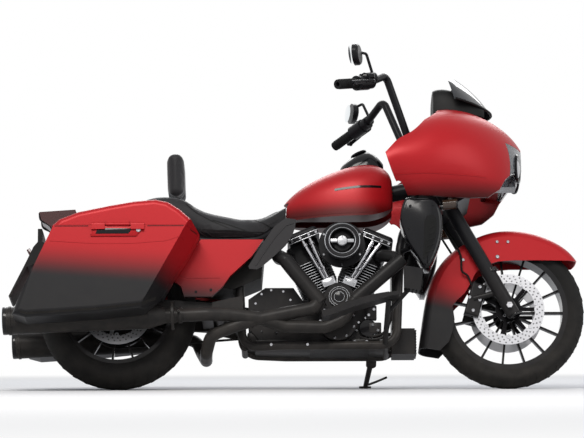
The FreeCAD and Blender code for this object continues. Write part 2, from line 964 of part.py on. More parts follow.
FENDER_SPINE_SHARES = [
    (0.915, 0.675), (0.79, 0.822), (0.556, 0.968), (0.27, 1.062), (0.0, 1.086), (-0.21, 1.06),
    (-0.47, 0.96), (-0.826, 0.693), (-1.013, 0.369), (-1.081, 0.095), (-1.125, -0.18), (-1.17, -0.5),
]
FENDER_LOWER_SHARES = [
    (0.97, 0.62), (0.86, 0.648), (0.40, 0.655), (0.06, 0.655), (-0.12, 0.64), (-0.26, 0.60), (-0.35, 0.56),
    (-0.43, 0.47), (-0.47, 0.38), (-0.56, 0.22), (-0.66, 0.13), (-0.725, 0.05), (-0.70, -0.14),
    (-0.735, -0.30), (-0.78, -0.43), (-0.90, -0.55), (-1.30, -0.60), (-1.30, 1.30), (0.97, 1.30),
]


def channel_points(start, inward, half_width, depth, inset):
    across = Vector(0, 1, 0)
    wide = half_width - inset
    crown = wide * 0.42
    rows = [(-wide, depth), (-wide, crown), (-wide * 0.80, crown * 0.34 + inset), (0, inset),
            (wide * 0.80, crown * 0.34 + inset), (wide, crown), (wide, depth)]
    return [start + across * y + inward * drop for y, drop in rows]


def swept_channel(spine, half_width, depth, thickness):
    """The channel between an outer and an inner skin, swept along the spine."""
    curve = Part.BSplineCurve()
    curve.interpolate(spine)
    path = Part.Wire(curve.toShape())
    tangent = curve.tangent(curve.FirstParameter)[0]
    inward = Vector(0, 1, 0).cross(tangent).normalize()
    if inward.z > 0:
        inward = inward * -1
    outer = channel_points(spine[0], inward, half_width, depth, 0)
    inner = channel_points(spine[0], inward, half_width, depth, thickness)
    skins = [smooth_channel(outer), smooth_channel(inner)]
    closing = [Part.LineSegment(outer[0], inner[0]).toShape(), Part.LineSegment(outer[-1], inner[-1]).toShape()]
    section = Part.Wire(Part.__sortEdges__(skins[0] + skins[1] + closing))
    sweep = Part.BRepOffsetAPI.MakePipeShell(path)
    sweep.setBiNormalMode(Vector(0, 1, 0))
    sweep.add(section)
    sweep.build()
    sweep.makeSolid()
    return sweep.shape()


def smooth_channel(points):
    crown = Part.BSplineCurve()
    crown.interpolate(points[1:-1])
    return [Part.LineSegment(points[0], points[1]).toShape(), crown.toShape(),
            Part.LineSegment(points[-2], points[-1]).toShape()]


def front_fender_shape():
    radius = mm("front_tyre_radius")
    centre = front_axle()
    spine = [centre + Vector(across * radius, 0, up * radius) for across, up in FENDER_SPINE_SHARES]
    guard = swept_channel(spine, mm("fender_half_width"), mm("fender_depth"), mm("fender_thickness"))
    outline = [(centre.x + across * radius, centre.z + up * radius) for across, up in FENDER_LOWER_SHARES]
    return guard.common(prism(outline, -2 * mm("fender_half_width"), 2 * mm("fender_half_width")))


def make_front_fender():
    feature("front_fender", front_fender_shape())


def caliper_shape(axle, disc_y, angle):
    """A brake caliper straddling a disc, at an angle round the axle from straight forward."""
    long, wide, thick = mm("caliper_length"), mm("caliper_width"), mm("caliper_thickness")
    radius = mm("disc_radius")
    block = Part.makeBox(wide, thick, long, Vector(radius - wide * 0.62, -thick / 2, -long / 2))
    block = soften(block, thick / 6, along_bike)
    gap = mm("running_gap")
    slot = Part.makeCylinder(radius + gap, mm("caliper_slot"), Vector(0, -mm("caliper_slot") / 2, 0), Vector(0, 1, 0))
    block = block.cut(slot)
    block.Placement = Placement(axle + Vector(0, disc_y, 0), Rotation(Vector(0, 1, 0), -angle))
    return block


def make_calipers():
    axle = front_axle()
    angle = mm("caliper_angle")
    block = caliper_shape(axle, -mm("front_disc_offset"), angle)
    reach = mm("disc_radius")
    outer_y = -mm("front_disc_offset") - mm("caliper_thickness") / 2
    middle = axle + Vector(cos_of(angle) * reach, 0, sin_of(angle) * reach)
    leg = fork_point(0, -mm("fork_half_spacing"), reach / 2)
    overlap = mm("disc_thickness")
    arm = rod(Vector(middle.x, outer_y + overlap, middle.z), Vector(leg.x, outer_y - overlap * 1.5, leg.z),
              mm("axle_radius"))
    joined = fuse([block, arm]).cut(leg_shape(-1))
    feature("front_calipers", pair(max(joined.Solids, key=lambda s: s.Volume)))


# Frame and rear suspension


def y_mirrored(points):
    return [Vector(p.x, -p.y, p.z) for p in points]


COVER_PEG_SHARES = (0.24, 0.3446)
BAG_PEG_SHARES = (-0.0615, 0.1846)
FENDER_PEG_SHARES = (-0.0615, 0.0738)
ENGINE_MOUNT_SHARES = (0.5108, 0.6031)


def backbone_path():
    """The backbone's ends: inside the head tube, and over the seat rails' front."""
    middle = steering_point(mm("head_low") + mm("head_tube_length") / 2)
    return middle, Vector(tank_rear() + span(0.0246), 0, mm("backbone_rear_z"))


def cradle_path():
    """Centre line of the left cradle tube, from the neck down and back up to the seat rail."""
    wide, low = mm("cradle_half_width"), mm("cradle_low")
    front, rear = mm("cradle_front"), mm("cradle_rear")
    neck_z = mm("head_low") + mm("cradle_radius") * 1.5
    neck = Vector(steering_axis_x(neck_z) - mm("neck_length"), mm("backbone_radius") * 0.8, neck_z)
    return [neck, Vector(front + mm("cradle_radius"), wide, low + mm("cooler_high") - mm("head_tube_length") / 2),
            Vector(front, wide, low), Vector(rear + mm("neck_length") * 1.2, wide, low),
            Vector(rear, mm("upright_y"), low),
            Vector(rear - mm("cradle_radius"), mm("upright_y"), mm("rail_height"))]


def rail_path():
    """Centre line of the left seat rail, from the backbone to the tail."""
    wide, height = mm("rail_half_width"), mm("rail_height")
    start = Vector(tank_rear() + span(0.0369), mm("backbone_radius") * 0.6, mm("backbone_rear_z") - mm("stem_radius"))
    return [start, Vector(mm("rail_kink") + span(0.1354), wide, height + mm("cradle_radius") / 4),
            Vector(mm("rail_kink"), wide, height), Vector(mm("rail_rear"), wide, height + mm("rail_climb"))]


def rail_line(x):
    """Height of the seat rail's centre line behind its kink."""
    back = max(mm("rail_kink") - x, 0) / (mm("rail_kink") - mm("rail_rear"))
    return mm("rail_height") + mm("rail_climb") * back


def both_tubes(path, radius):
    return [tube(path, radius, mm("tube_bend")), tube(y_mirrored(path), radius, mm("tube_bend"))]


def neck_gusset():
    """The plate that ties the head tube to the backbone."""
    low = mm("head_low")
    tall = mm("head_tube_length")
    rear = steering_axis_x(low) - mm("neck_length")
    outline = [(rear, low - tall / 4), (rear, low + tall / 6), (steering_axis_x(low + tall * 0.75), low + tall * 0.75),
               (steering_axis_x(low + tall / 12), low + tall / 12)]
    half = mm("gusset_thickness") / 2
    return prism(outline, -half, half)


def make_frame():
    """Backbone, cradle and seat rails with every bracket that holds another piece."""
    low, high = mm("head_low"), head_high()
    start, end = backbone_path()
    pieces = [rod(start, end, mm("backbone_radius")), neck_gusset(),
              hollow_rod(steering_point(low), steering_point(high), mm("head_radius"), mm("stem_radius"))]
    pieces += both_tubes(cradle_path(), mm("cradle_radius")) + both_tubes(rail_path(), mm("rail_radius"))
    pieces += frame_crossmembers()
    for side in (-1, 1):
        pieces += frame_lugs(side)
    pieces += fairing_bracket() + stand_ears()
    frame = fuse(pieces)
    past = mm("stem_radius")
    bore = rod(steering_point(low - past), steering_point(high + past), mm("stem_radius") + mm("axle_clearance"))
    frame = frame.cut(bore).cut(pivot_rod(mm("axle_radius")))
    for block in frame_neighbours():
        frame = frame.cut(block)
    feature("frame", frame)


NOSE_PLATE_SHARES = [
    (0.477, 0.26), (0.477, 0.355), (0.572, 0.613), (0.623, 0.613), (0.623, 0.362), (0.779, 0.362), (0.779, 0.26),
]


def fairing_bracket():
    """A plate ahead of the head tube and a bar out to the fairing's inner skin."""
    half = mm("gusset_thickness") * 0.73
    plate = prism(on_fairing(NOSE_PLATE_SHARES), -half, half)
    x, z = on_fairing([(0.755, 0.313)])[0]
    reach = mm("fairing_half_width") * 0.75
    bar = rod(Vector(x, -reach, z), Vector(x, reach, z), mm("peg_radius") * 1.1)
    return [plate, bar.common(fairing_skin(mm("fairing_wall")))]


def frame_neighbours():
    """Pieces that bear on the frame's brackets and shape their ends."""
    side = lower_block()
    bag = bag_block()
    return [side, mirrored(side), mirrored(deflector_block()), bag, mirrored(bag), regulator_block()]


def cross_rod(x, half, z, radius):
    """A round bar straight across the bike."""
    return rod(Vector(x, -half, z), Vector(x, half, z), radius)


def frame_crossmembers():
    low = mm("cradle_low")
    thin = mm("cradle_radius") * 0.8
    return [cross_rod(cooler_cross_x(), mm("cradle_half_width"), low, thin),
            cross_rod(mm("cradle_rear") + thin * 0.7, mm("upright_y"), low, thin),
            cross_rod(mm("cradle_rear") - mm("cradle_radius"), mm("rail_half_width"), mm("rail_height"),
                      mm("rail_radius") * 0.8),
            cross_rod(tank_rear() + mm("tank_length") * 0.8155, mm("tunnel_half_width"),
                      mm("tank_low") + mm("tank_height") * 0.29, mm("peg_radius"))]


def cooler_cross_x():
    """Where the front crossmember runs, just behind the cradle's front tubes."""
    return mm("cradle_front") - mm("cradle_radius") * 2.3


def pivot_rod(radius):
    reach = mm("arm_half_spacing") + mm("arm_width") * 1.37
    centre = Vector(mm("pivot_x"), 0, mm("pivot_z"))
    return rod(centre - Vector(0, reach, 0), centre + Vector(0, reach, 0), radius)


PIVOT_PLATE_SHARES = [(-0.0209, -0.0209), (0.0566, -0.0369), (0.0566, 0.0369), (-0.0209, 0.0209)]
SHOCK_TOP_SHARE = 0.0923
SHOCK_LOW_SHARES = (0.0295, 0.0086)
DEFLECTOR_ROD_SHARES = [(0.4, -0.0529, 0.4), (0.4037, -0.1317, 0.3766)]
POD_ROD_SHARES = [(0.7249, 0.0689, 0.3422), (0.7582, 0.1231, 0.3446)]
REGULATOR_ROD_SHARES = [(0.6868, 0.0246, 0.0985), (0.7139, 0.0246, 0.1077)]


def pivot_lugs():
    """The plate outside the swingarm's pivot and its spacer to the cradle."""
    start = mm("arm_half_spacing") + mm("arm_width") * 0.6
    thick = mm("arm_width") / 3
    x, z = mm("pivot_x"), mm("pivot_z")
    plate = prism([(x + span(along), z + span(up)) for along, up in PIVOT_PLATE_SHARES], start, start + thick)
    long, tall = mm("arm_width") * 1.13, mm("arm_height") * 1.35
    corner = Vector(mm("cradle_rear") - mm("arm_width"), mm("upright_y"), z - tall / 2)
    return [plate, Part.makeBox(long, start + thick - mm("upright_y"), tall, corner)]


def rail_pegs():
    """Stubs from the left seat rail to the shock, saddlebag, mudguard, backrest and side cover."""
    rail, height, peg = mm("rail_half_width"), mm("rail_height"), mm("peg_radius")
    x = span(SHOCK_TOP_SHARE)
    shapes = [rod(Vector(x, rail, height), Vector(x, mm("shock_y") + mm("shock_radius"), height), peg),
              rod(Vector(x, rail, rail_line(x)), Vector(x, rail, height - peg * 1.3), peg * 1.45)]
    for share in BAG_PEG_SHARES:
        foot = Vector(span(share), mm("bag_inner_y") + peg, height - mm("bag_bracket_drop"))
        shapes.append(rod(Vector(foot.x, rail, rail_line(foot.x)), foot, peg))
    for share in FENDER_PEG_SHARES:
        z = rail_line(span(share))
        shapes.append(rod(Vector(span(share), rail, z), Vector(span(share), mm("rear_fender_half_width"), z), peg * 0.9))
    for share in COVER_PEG_SHARES:
        start = Vector(span(share), rail - peg / 2, height - peg * 1.45)
        shapes.append(rod(start, Vector(start.x, mm("cover_y"), start.z), peg * 0.67))
    return shapes


def frame_lugs(side):
    """Brackets of one side: pivot, rail stubs, lower fairing, engine mounts, regulator, heat deflector."""
    peg = mm("peg_radius")
    shapes = pivot_lugs() + rail_pegs()
    shapes.append(rod(*spots(POD_ROD_SHARES), peg * 1.1))
    shapes.append(rod(*spots(REGULATOR_ROD_SHARES), peg))
    for share in ENGINE_MOUNT_SHARES:
        corner = Vector(span(share), mm("case_half_width"), mm("cradle_low") - mm("peg_radius"))
        shapes.append(Part.makeBox(peg * 4, mm("cradle_half_width") - corner.y, peg * 2, corner))
    if side > 0:
        return shapes
    return [mirrored(shape) for shape in shapes] + [rod(*spots(DEFLECTOR_ROD_SHARES), peg * 0.9)]


ARM_OUTLINE_SHARES = [
    (0.0369, 0.0191), (-0.0246, 0.0172), (-0.0382, 0.0), (-0.0246, -0.0172), (0.0369, -0.0191),
]


def swingarm_side():
    """The left arm, from the pivot to the axle."""
    tall = mm("arm_height") / 2
    x, z = mm("pivot_x"), mm("pivot_z")
    axle = rear_axle()
    outline = [(x + tall, z), (x + tall * 0.7, z + tall * 0.7), (x, z + tall)]
    outline += [(axle.x + span(along), axle.z + span(up)) for along, up in ARM_OUTLINE_SHARES]
    outline += [(x, z - tall), (x + tall * 0.7, z - tall * 0.7)]
    half, wide = mm("arm_half_spacing"), mm("arm_width")
    return prism(outline, half - wide / 2, half + wide / 2)


def make_swingarm():
    half, tall = mm("arm_half_spacing"), mm("arm_height") / 2
    x, z = mm("pivot_x"), mm("pivot_z")
    axle = rear_axle()
    arm = swingarm_side()
    cross = Part.makeBox(mm("arm_height") * 0.74, 2 * half, tall * 1.2,
                         Vector(x - mm("arm_height") * 1.26, -half, z - tall * 0.6))
    low = axle + Vector(span(SHOCK_LOW_SHARES[0]), half, span(SHOCK_LOW_SHARES[1]))
    pin = rod(low, Vector(low.x, mm("shock_y") + mm("shock_radius"), low.z), mm("peg_radius"))
    hub = mm("rear_hub_width") / 2 + mm("panel_gap")
    collars = [rod(axle - Vector(0, half, 0), axle - Vector(0, hub + mm("disc_thickness"), 0), mm("stem_radius")),
               rod(axle + Vector(0, hub, 0), axle + Vector(0, half, 0), mm("stem_radius"))]
    feature("swingarm", fuse([arm, mirrored(arm), cross, pin, mirrored(pin), rear_axle_rod(),
                              pivot_rod(mm("axle_radius")), cross_rod(x, half, z, tall * 0.8)] + collars))


def rear_axle_rod():
    reach = mm("arm_half_spacing") + mm("arm_width") * 0.9
    return rod(rear_axle() - Vector(0, reach, 0), rear_axle() + Vector(0, reach, 0), mm("axle_radius"))


def make_shocks():
    """A pair of shock absorbers between the swingarm and the seat rails."""
    radius, peg = mm("shock_radius"), mm("peg_radius")
    low = rear_axle() + Vector(span(SHOCK_LOW_SHARES[0]), mm("shock_y"), span(SHOCK_LOW_SHARES[1]))
    high = Vector(span(SHOCK_TOP_SHARE), mm("shock_y"), mm("rail_height"))
    run = (high - low).normalize()
    long = (high - low).Length
    shapes = [rod(low + run * radius * 1.1, low + run * long * 0.53, radius),
              rod(low + run * long * 0.42, high - run * radius * 0.6, radius * 0.82),
              rod(low, low + run * radius * 1.25, radius * 0.45)]
    out = Vector(0, radius * 0.62, 0)
    shapes += [rod(end - out, end + out, radius * 0.7) for end in (low, high)]
    shock = fuse(shapes)
    for end in (low, high):
        shock = shock.cut(rod(end - out * 4, end + out * 4, peg))
    feature("rear_shocks", pair(shock))


def make_rear_brake():
    angle = mm("rear_caliper_angle")
    axle = rear_axle()
    block = caliper_shape(axle, -mm("rear_disc_offset"), angle)
    reach, thick, peg = mm("disc_radius"), mm("caliper_thickness"), mm("peg_radius")
    start = Vector(axle.x + cos_of(angle) * reach + peg, -mm("rear_disc_offset") - thick * 0.43,
                   axle.z + sin_of(angle) * reach - peg * 0.7)
    inner = mm("arm_half_spacing") - mm("arm_width") / 2
    arm = rod(start, Vector(axle.x - peg * 2.2, -inner, axle.z + peg * 2.2), peg * 1.2)
    feature("rear_caliper", fuse([block, arm]).cut(mirrored(swingarm_side())))


# Engine


def bank_place(side):
    """Frame of a cylinder: origin on the crank, Z up along the bore; side is -1 for the rear one."""
    turn = Rotation(Vector(0, 1, 0), side * mm("bank_angle"))
    return Placement(Vector(mm("crank_x"), 0, mm("crank_z")), turn)


def raise_sketch(sketch, height):
    sketch.AttachmentOffset = Placement(Vector(0, 0, float(height)), Rotation())
    sketch.setExpression("AttachmentOffset.Base.z", text_of(height))


def add_rounded_square(sketch, half_x, half_y, corner):
    """A rectangle with round corners, drawn anticlockwise from its lower right."""
    add_outline(sketch, [
        (half_x - corner, -half_y, corner), (half_x, -half_y + corner),
        (half_x, half_y - corner, corner), (half_x - corner, half_y),
        (-half_x + corner, half_y, corner), (-half_x, half_y - corner),
        (-half_x, -half_y + corner, corner), (-half_x + corner, -half_y),
    ])


def make_cylinder_body(name):
    """A finned barrel with its finned head."""
    body = new_body(name + "_casting")
    barrel = new_sketch(body, "XY_Plane", name + "_bore")
    raise_sketch(barrel, size("deck_height"))
    add_circle(barrel, size("barrel_radius") * 0, size("barrel_radius") * 0, size("barrel_radius"))
    pad(body, barrel, name + "_barrel", size("barrel_length"))
    fin = new_sketch(body, "XY_Plane", name + "_fin_profile")
    raise_sketch(fin, size("deck_height") + size("fin_pitch") / 2)
    half = size("fin_half_width")
    add_rounded_square(fin, half, half, half / 3)
    first = pad(body, fin, name + "_fin", size("fin_thickness"))
    rows = body.newObject("PartDesign::LinearPattern", name + "_fins")
    rows.Originals = [first]
    rows.Direction = (plane_of(body, "Z_Axis"), [""])
    bind(rows, "Length", size("fin_pitch") * (size("fin_count") - 1))
    bind(rows, "Occurrences", size("fin_count"))
    body.Tip = rows
    head = new_sketch(body, "XY_Plane", name + "_head_profile")
    raise_sketch(head, size("deck_height") + size("barrel_length"))
    add_rounded_square(head, half * 0.86, half * 0.9, half / 4)
    pad(body, head, name + "_head", size("head_length"))
    return body


def make_cylinders():
    banks = []
    for name, side in (("rear_cylinder", -1), ("front_cylinder", 1)):
        body = make_cylinder_body(name)
        body.Placement = bank_place(side)
        beside = doc.addObject("Part::Box", name + "_side")
        bind(beside, "Length", size("fin_half_width") * 6)
        bind(beside, "Width", size("fin_half_width") * 6)
        bind(beside, "Height", size("fin_half_width") * 10)
        reach = mm("fin_half_width") * 6
        start = mm("crank_x") + (mm("vee_gap") if side > 0 else -mm("vee_gap") - reach)
        beside.Placement = Placement(Vector(start, -reach / 2, mm("crank_z")), Rotation())
        half = doc.addObject("Part::MultiCommon", name)
        half.Shapes = [body, beside]
        banks.append(half)
    both = doc.addObject("Part::Compound", "cylinders")
    both.Links = banks
    keep("cylinders", both)


def bank_box(side, start, length, half_x, low_y, high_y):
    box = Part.makeBox(2 * half_x, high_y - low_y, length, Vector(-half_x, low_y, start))
    box.Placement = bank_place(side).multiply(box.Placement)
    return box


def make_rocker_covers():
    start = mm("deck_height") + mm("barrel_length") + mm("head_length")
    half, tall = mm("rocker_half_width"), mm("rocker_height")
    outer = mm("pushrod_y") + mm("pushrod_radius") * 1.4
    covers = []
    for side in (-1, 1):
        box = Part.makeBox(2 * half, mm("rocker_half_depth") + outer, tall,
                           Vector(mm("rocker_shift") - half, -outer, start))
        middle = start + tall / 2
        box = soften(box, tall * 0.4, lambda e: e.BoundBox.ZMin > middle or e.BoundBox.ZLength > tall / 2)
        box.Placement = bank_place(side).multiply(box.Placement)
        covers.append(box)
    feature("rocker_covers", Part.makeCompound(covers))


def case_outline():
    """Side outline of the crankcase, up to the cylinders' decks."""
    half = mm("barrel_radius") * 1.1
    deck = mm("deck_height")
    rear_low = bank_place(-1).multVec(Vector(-half, 0, deck))
    peak = bank_place(-1).multVec(Vector(half, 0, deck))
    front_low = bank_place(1).multVec(Vector(half, 0, deck))
    low, high = mm("case_low"), mm("crank_z")
    bulge = (high - low) * 0.16
    return [(mm("case_rear"), low), (mm("case_front"), low), (mm("case_front") + bulge, low + bulge * 4.4),
            (mm("case_front"), high + bulge * 3), (front_low.x, front_low.z), (mm("crank_x"), peak.z),
            (rear_low.x, rear_low.z)]


GEARBOX_SHARES = [
    (0, 0.35), (0.2, 0.125), (1.05, 0.125), (1.05, 0.76), (0.88, 0.80), (0.735, 1), (0.275, 1), (0, 0.81),
]


def make_crankcase():
    wide = mm("case_half_width")
    case = prism(case_outline(), -wide, wide)
    rear = mm("gearbox_rear")
    box = fitted(GEARBOX_SHARES, rear, mm("case_rear") - rear, mm("case_low"), mm("gearbox_top") - mm("case_low"))
    gearbox = prism(box, -wide * 0.91, wide * 0.7)
    x, z = mm("sprocket_x"), mm("sprocket_z")
    left = Vector(0, 1, 0)
    inner = wide * 0.45
    shaft = Part.makeCylinder(mm("stem_radius") * 1.3, mm("primary_inner_y") - inner, Vector(x, inner, z), left)
    sprocket = Part.makeCylinder(mm("sprocket_radius"), mm("pulley_width"),
                                 Vector(x, mm("pulley_offset") - mm("pulley_width") / 2, z), left)
    feature("engine_case", fuse([case, gearbox, shaft, sprocket]))


def make_belt():
    """A flat belt from the gearbox sprocket to the rear pulley."""
    y = mm("pulley_offset") - mm("pulley_width") / 2
    width = mm("pulley_width")
    front = Vector(mm("sprocket_x"), y, mm("sprocket_z"))
    rear = Vector(0, y, mm("rear_tyre_radius"))
    slack = mm("belt_gap")
    inner = stadium(rear, mm("pulley_radius") + slack, front, mm("sprocket_radius"), width)
    outer = stadium(rear, mm("pulley_radius") + slack + mm("belt_thickness"), front,
                    mm("sprocket_radius") + mm("belt_thickness"), width)
    feature("drive_belt", outer.cut(inner))


def make_engine_covers():
    wide = mm("case_half_width")
    thick = mm("cam_cover_thickness")
    crank = Vector(mm("crank_x"), -wide, mm("crank_z") + mm("medallion_step"))
    medal = Vector(mm("medallion_x"), -wide, mm("medallion_z"))
    out, left = Vector(0, -1, 0), Vector(0, 1, 0)
    feature("cam_cover", fuse([Part.makeCylinder(mm("cam_cover_radius"), thick, crank, out),
                               Part.makeCylinder(mm("cam_cover_top_radius"), thick, medal, out),
                               Part.makeCylinder(mm("medallion_radius"), thick + mm("medallion_step"), medal, out)]))
    outer = mm("primary_inner_y")
    radius = mm("primary_radius")
    front = Vector(mm("crank_x"), outer, mm("crank_z"))
    ring = stadium(Vector(mm("clutch_x"), outer, mm("clutch_z")), radius * 0.94, front, radius,
                   mm("primary_thickness") - (outer - wide))
    mouth = Part.makeCylinder(radius * 0.85, outer - wide, Vector(front.x, wide, front.z), left)
    feature("primary_cover", fuse([ring, mouth]))


def stadium(start, start_radius, end, end_radius, depth):
    """Two round ends and the straight sides that touch them, run to the left."""
    run = end - start
    gap = run.Length
    along = Vector(run).normalize()
    tilt = math.acos((start_radius - end_radius) / gap)
    up = Vector(0, -1, 0).cross(along).normalize()

    def touch(centre, radius, sign):
        return centre + along * radius * math.cos(tilt) + up * radius * math.sin(tilt) * sign

    a, b = touch(start, start_radius, 1), touch(end, end_radius, 1)
    c, d = touch(end, end_radius, -1), touch(start, start_radius, -1)
    wire = Part.Wire([
        Part.LineSegment(a, b).toShape(),
        Part.Arc(b, end + along * end_radius, c).toShape(),
        Part.LineSegment(c, d).toShape(),
        Part.Arc(d, start - along * start_radius, a).toShape(),
    ])
    return Part.Face(wire).extrude(Vector(0, depth, 0))


def lifter_middle(side):
    """Middle of a bank's lifter block, on the crankcase's right side."""
    return Vector(mm("crank_x") + mm("lifter_height") / 4 + side * mm("lifter_spacing"), -mm("pushrod_y"),
                  mm("case_top") + mm("lifter_height") / 4)


def make_pushrods():
    """Four pushrod tubes on two lifter blocks."""
    y = -mm("pushrod_y")
    radius = mm("pushrod_radius")
    start = mm("deck_height") + mm("barrel_length") + mm("head_length")
    reach = mm("fin_half_width") * 4
    groups = []
    for side in (-1, 1):
        place = bank_place(side)
        middle = lifter_middle(side)
        parts = [turned_box(mm("lifter_length"), mm("lifter_width"), mm("lifter_height"), middle,
                            side * mm("bank_angle"))]
        for shift in (-1, 1):
            foot = middle + Vector(shift * radius * 0.7, 0, 0)
            head = place.multVec(Vector(mm("pushrod_shift") + shift * mm("pushrod_spread"), y, start))
            parts.append(rod(foot, head, radius))
        groups.append(fuse(parts).cut(bank_box(side, start, reach, reach, -reach, reach)))
    feature("pushrod_tubes", Part.makeCompound(groups))


def make_air_cleaner():
    """Round air cleaner on its backplate, with the intake pipe between the cylinder heads."""
    doc.recompute()
    heads = doc.getObject("cylinders").Shape
    x, z = mm("cleaner_x"), mm("cleaner_z")
    radius, inner, deep, face = mm("cleaner_radius"), mm("cleaner_inner"), mm("cleaner_depth"), -mm("cleaner_y")
    thick = mm("backplate_thickness")
    out = Vector(0, -1, 0)
    plate = Part.makeCylinder(mm("backplate_radius"), thick, Vector(x, face + thick, z + radius * 0.1), out)
    start = -mm("barrel_radius") / 5
    horn = Part.makeCylinder(inner / 2, -face - thick - start * -1, Vector(x, start, z - inner * 0.4), out)
    pipe_y, pipe_z = -mm("barrel_radius") / 2, z - inner / 5
    manifold = rod(Vector(x - radius * 1.2, pipe_y, pipe_z), Vector(x + radius * 1.2, pipe_y, pipe_z), inner * 0.38)
    drum = Part.makeCylinder(inner * 1.28, deep * 0.8, Vector(x, face, z), out)
    rim = Part.makeCylinder(radius, deep * 0.34, Vector(x, face - deep * 0.66, z), out)
    rim = rim.cut(Part.makeCylinder(inner, deep, Vector(x, face - deep * 0.80, z), out))
    feature("air_cleaner", fuse([plate, horn, manifold, drum, rim]).cut(heads))


# Exhaust


REAR_HEADER_SHARES = [
    (0.44431, -0.03569, 0.33292), (0.416, -0.06154, 0.32862), (0.41108, -0.10154, 0.32615),
    (0.43077, -0.12308, 0.30954), (0.528, -0.12308, 0.18831), (0.45846, -0.12369, 0.17477),
    (0.368, -0.12554, 0.15631), (0.28923, -0.13231, 0.16492), (0.23385, -0.14154, 0.16431),
]

FRONT_HEADER_SHARES = [
    (0.66831, -0.03077, 0.33354), (0.67938, -0.07877, 0.33231), (0.72862, -0.11077, 0.31508),
    (0.60615, -0.11077, 0.208), (0.57723, -0.112, 0.15631), (0.53046, -0.11323, 0.136),
    (0.43077, -0.11569, 0.13785), (0.37662, -0.12185, 0.15385),
]

CROSS_PIPE_SHARES = [
    (0.35385, -0.12431, 0.15385), (0.28923, -0.12062, 0.13292), (0.24123, -0.10831, 0.11692),
    (0.22892, -0.06769, 0.08123), (0.22646, 0, 0.08123), (0.22523, 0.06769, 0.08862),
    (0.21231, 0.12308, 0.12062), (0.19569, 0.14154, 0.16123),
]


def muffler_axis(y):
    """Tail and front of a muffler's centre line."""
    low = mm("muffler_z")
    return Vector(mm("muffler_tail"), y, low), Vector(mm("muffler_front"), y, low + mm("muffler_rise"))


def make_exhaust():
    """Two headers that meet behind the engine, and the pipe that crosses under to the left muffler."""
    y = mm("muffler_y")
    rear = tube(spots(REAR_HEADER_SHARES) + [muffler_axis(-y)[1]], mm("header_radius"), mm("header_elbow"))
    front = tube(spots(FRONT_HEADER_SHARES), mm("branch_radius"), mm("header_bend"))
    cross = tube(spots(CROSS_PIPE_SHARES) + [muffler_axis(y)[1]], mm("branch_radius"), mm("header_bend"))
    can = muffler_can()
    pipes = fuse([rear, front, cross])
    for block in (doc.getObject("cylinders").Shape, can, mirrored(can)):
        pipes = pipes.cut(block)
    feature("exhaust_pipes", max(pipes.Solids, key=lambda s: s.Volume))
    feature("mufflers", pair(can))


def muffler_can():
    """A tapered can, open at the tail, on an axis that climbs forward."""
    tail, front = muffler_axis(mm("muffler_y"))
    long = (front - tail).Length
    radius, bore, neck = mm("muffler_radius"), mm("outlet_radius"), mm("header_radius") + mm("pipe_wall") * 2
    taper = mm("muffler_taper")
    rows = [(0, bore), (0, radius), (long - taper * 1.6, radius * 0.9), (long - taper * 0.6, neck), (long, neck),
            (long, 0), (mm("outlet_depth"), 0), (mm("outlet_depth"), bore)]
    profile = Part.Face(polygon([tail + Vector(along, 0, up) for along, up in rows]))
    can = profile.revolve(tail, Vector(1, 0, 0), 360)
    can.rotate(tail, Vector(0, 1, 0), -math.degrees(math.asin(mm("muffler_rise") / long)))
    return can


# Bodywork


TANK_STATION_SHARES = [
    (0.0, 0.10, 0.20, 0.02), (0.08, 0.34, 0.40, 0.0), (0.24, 0.66, 0.64, 0.0), (0.46, 0.90, 0.84, 0.0),
    (0.66, 1.0, 0.96, 0.0), (0.82, 0.96, 0.985, 0.02), (0.94, 0.80, 0.90, 0.10), (1.0, 0.52, 0.60, 0.20),
]


def loft_stations(stations, rear, length, half_width, low, height, shoulder, width_share):
    """A crowned body lofted through sections given as shares: along, half width, top, bottom."""
    wires = []
    for along, wide, top, bottom in stations:
        wires.append(crown_wire(rear + along * length, wide * half_width, low + bottom * height,
                                low + top * height, shoulder, width_share))
    return loft(wires)


def tank_shape():
    return loft_stations(TANK_STATION_SHARES, tank_rear(), mm("tank_length"), mm("tank_half_width"),
                         mm("tank_low"), mm("tank_height"), 0.74, 0.86)


CONSOLE_STATION_SHARES = [
    (0.0, 0.5, 0.56, 0.0), (0.12, 0.78, 0.72, 0.0), (0.34, 0.95, 0.90, 0.0), (0.64, 1.0, 1.0, 0.0),
    (0.86, 0.92, 0.87, 0.0), (1.0, 0.7, 0.68, 0.0),
]


def rail_space(gap):
    """Space round the backbone and the seat rails, wider than them by a gap."""
    start, end = backbone_path()
    rail = rail_path()
    radius = mm("rail_radius") + gap
    return [tube(rail, radius, mm("tube_bend")), tube(y_mirrored(rail), radius, mm("tube_bend")),
            rod(start, end, mm("backbone_radius") + gap)]


def make_tank():
    tank = tank_shape()
    half, deep = mm("tunnel_half_width"), mm("tunnel_height")
    long, low, tall = mm("tank_length"), mm("tank_low"), mm("tank_height")
    tank = tank.cut(Part.makeBox(long * 1.2, 2 * half, deep * 2, Vector(tank_rear() - long / 10, -half, low - deep)))
    for block in rail_space(mm("rail_radius") / 4):
        tank = tank.cut(block)
    feature("fuel_tank", tank)
    console = loft_stations(CONSOLE_STATION_SHARES, tank_rear() + long * 0.547, long * 0.378,
                            mm("tank_half_width") * 0.42, low + tall * 0.6, mm("console_height") + tall * 0.4,
                            0.8, 0.84)
    feature("tank_console", console.cut(tank_shape()))


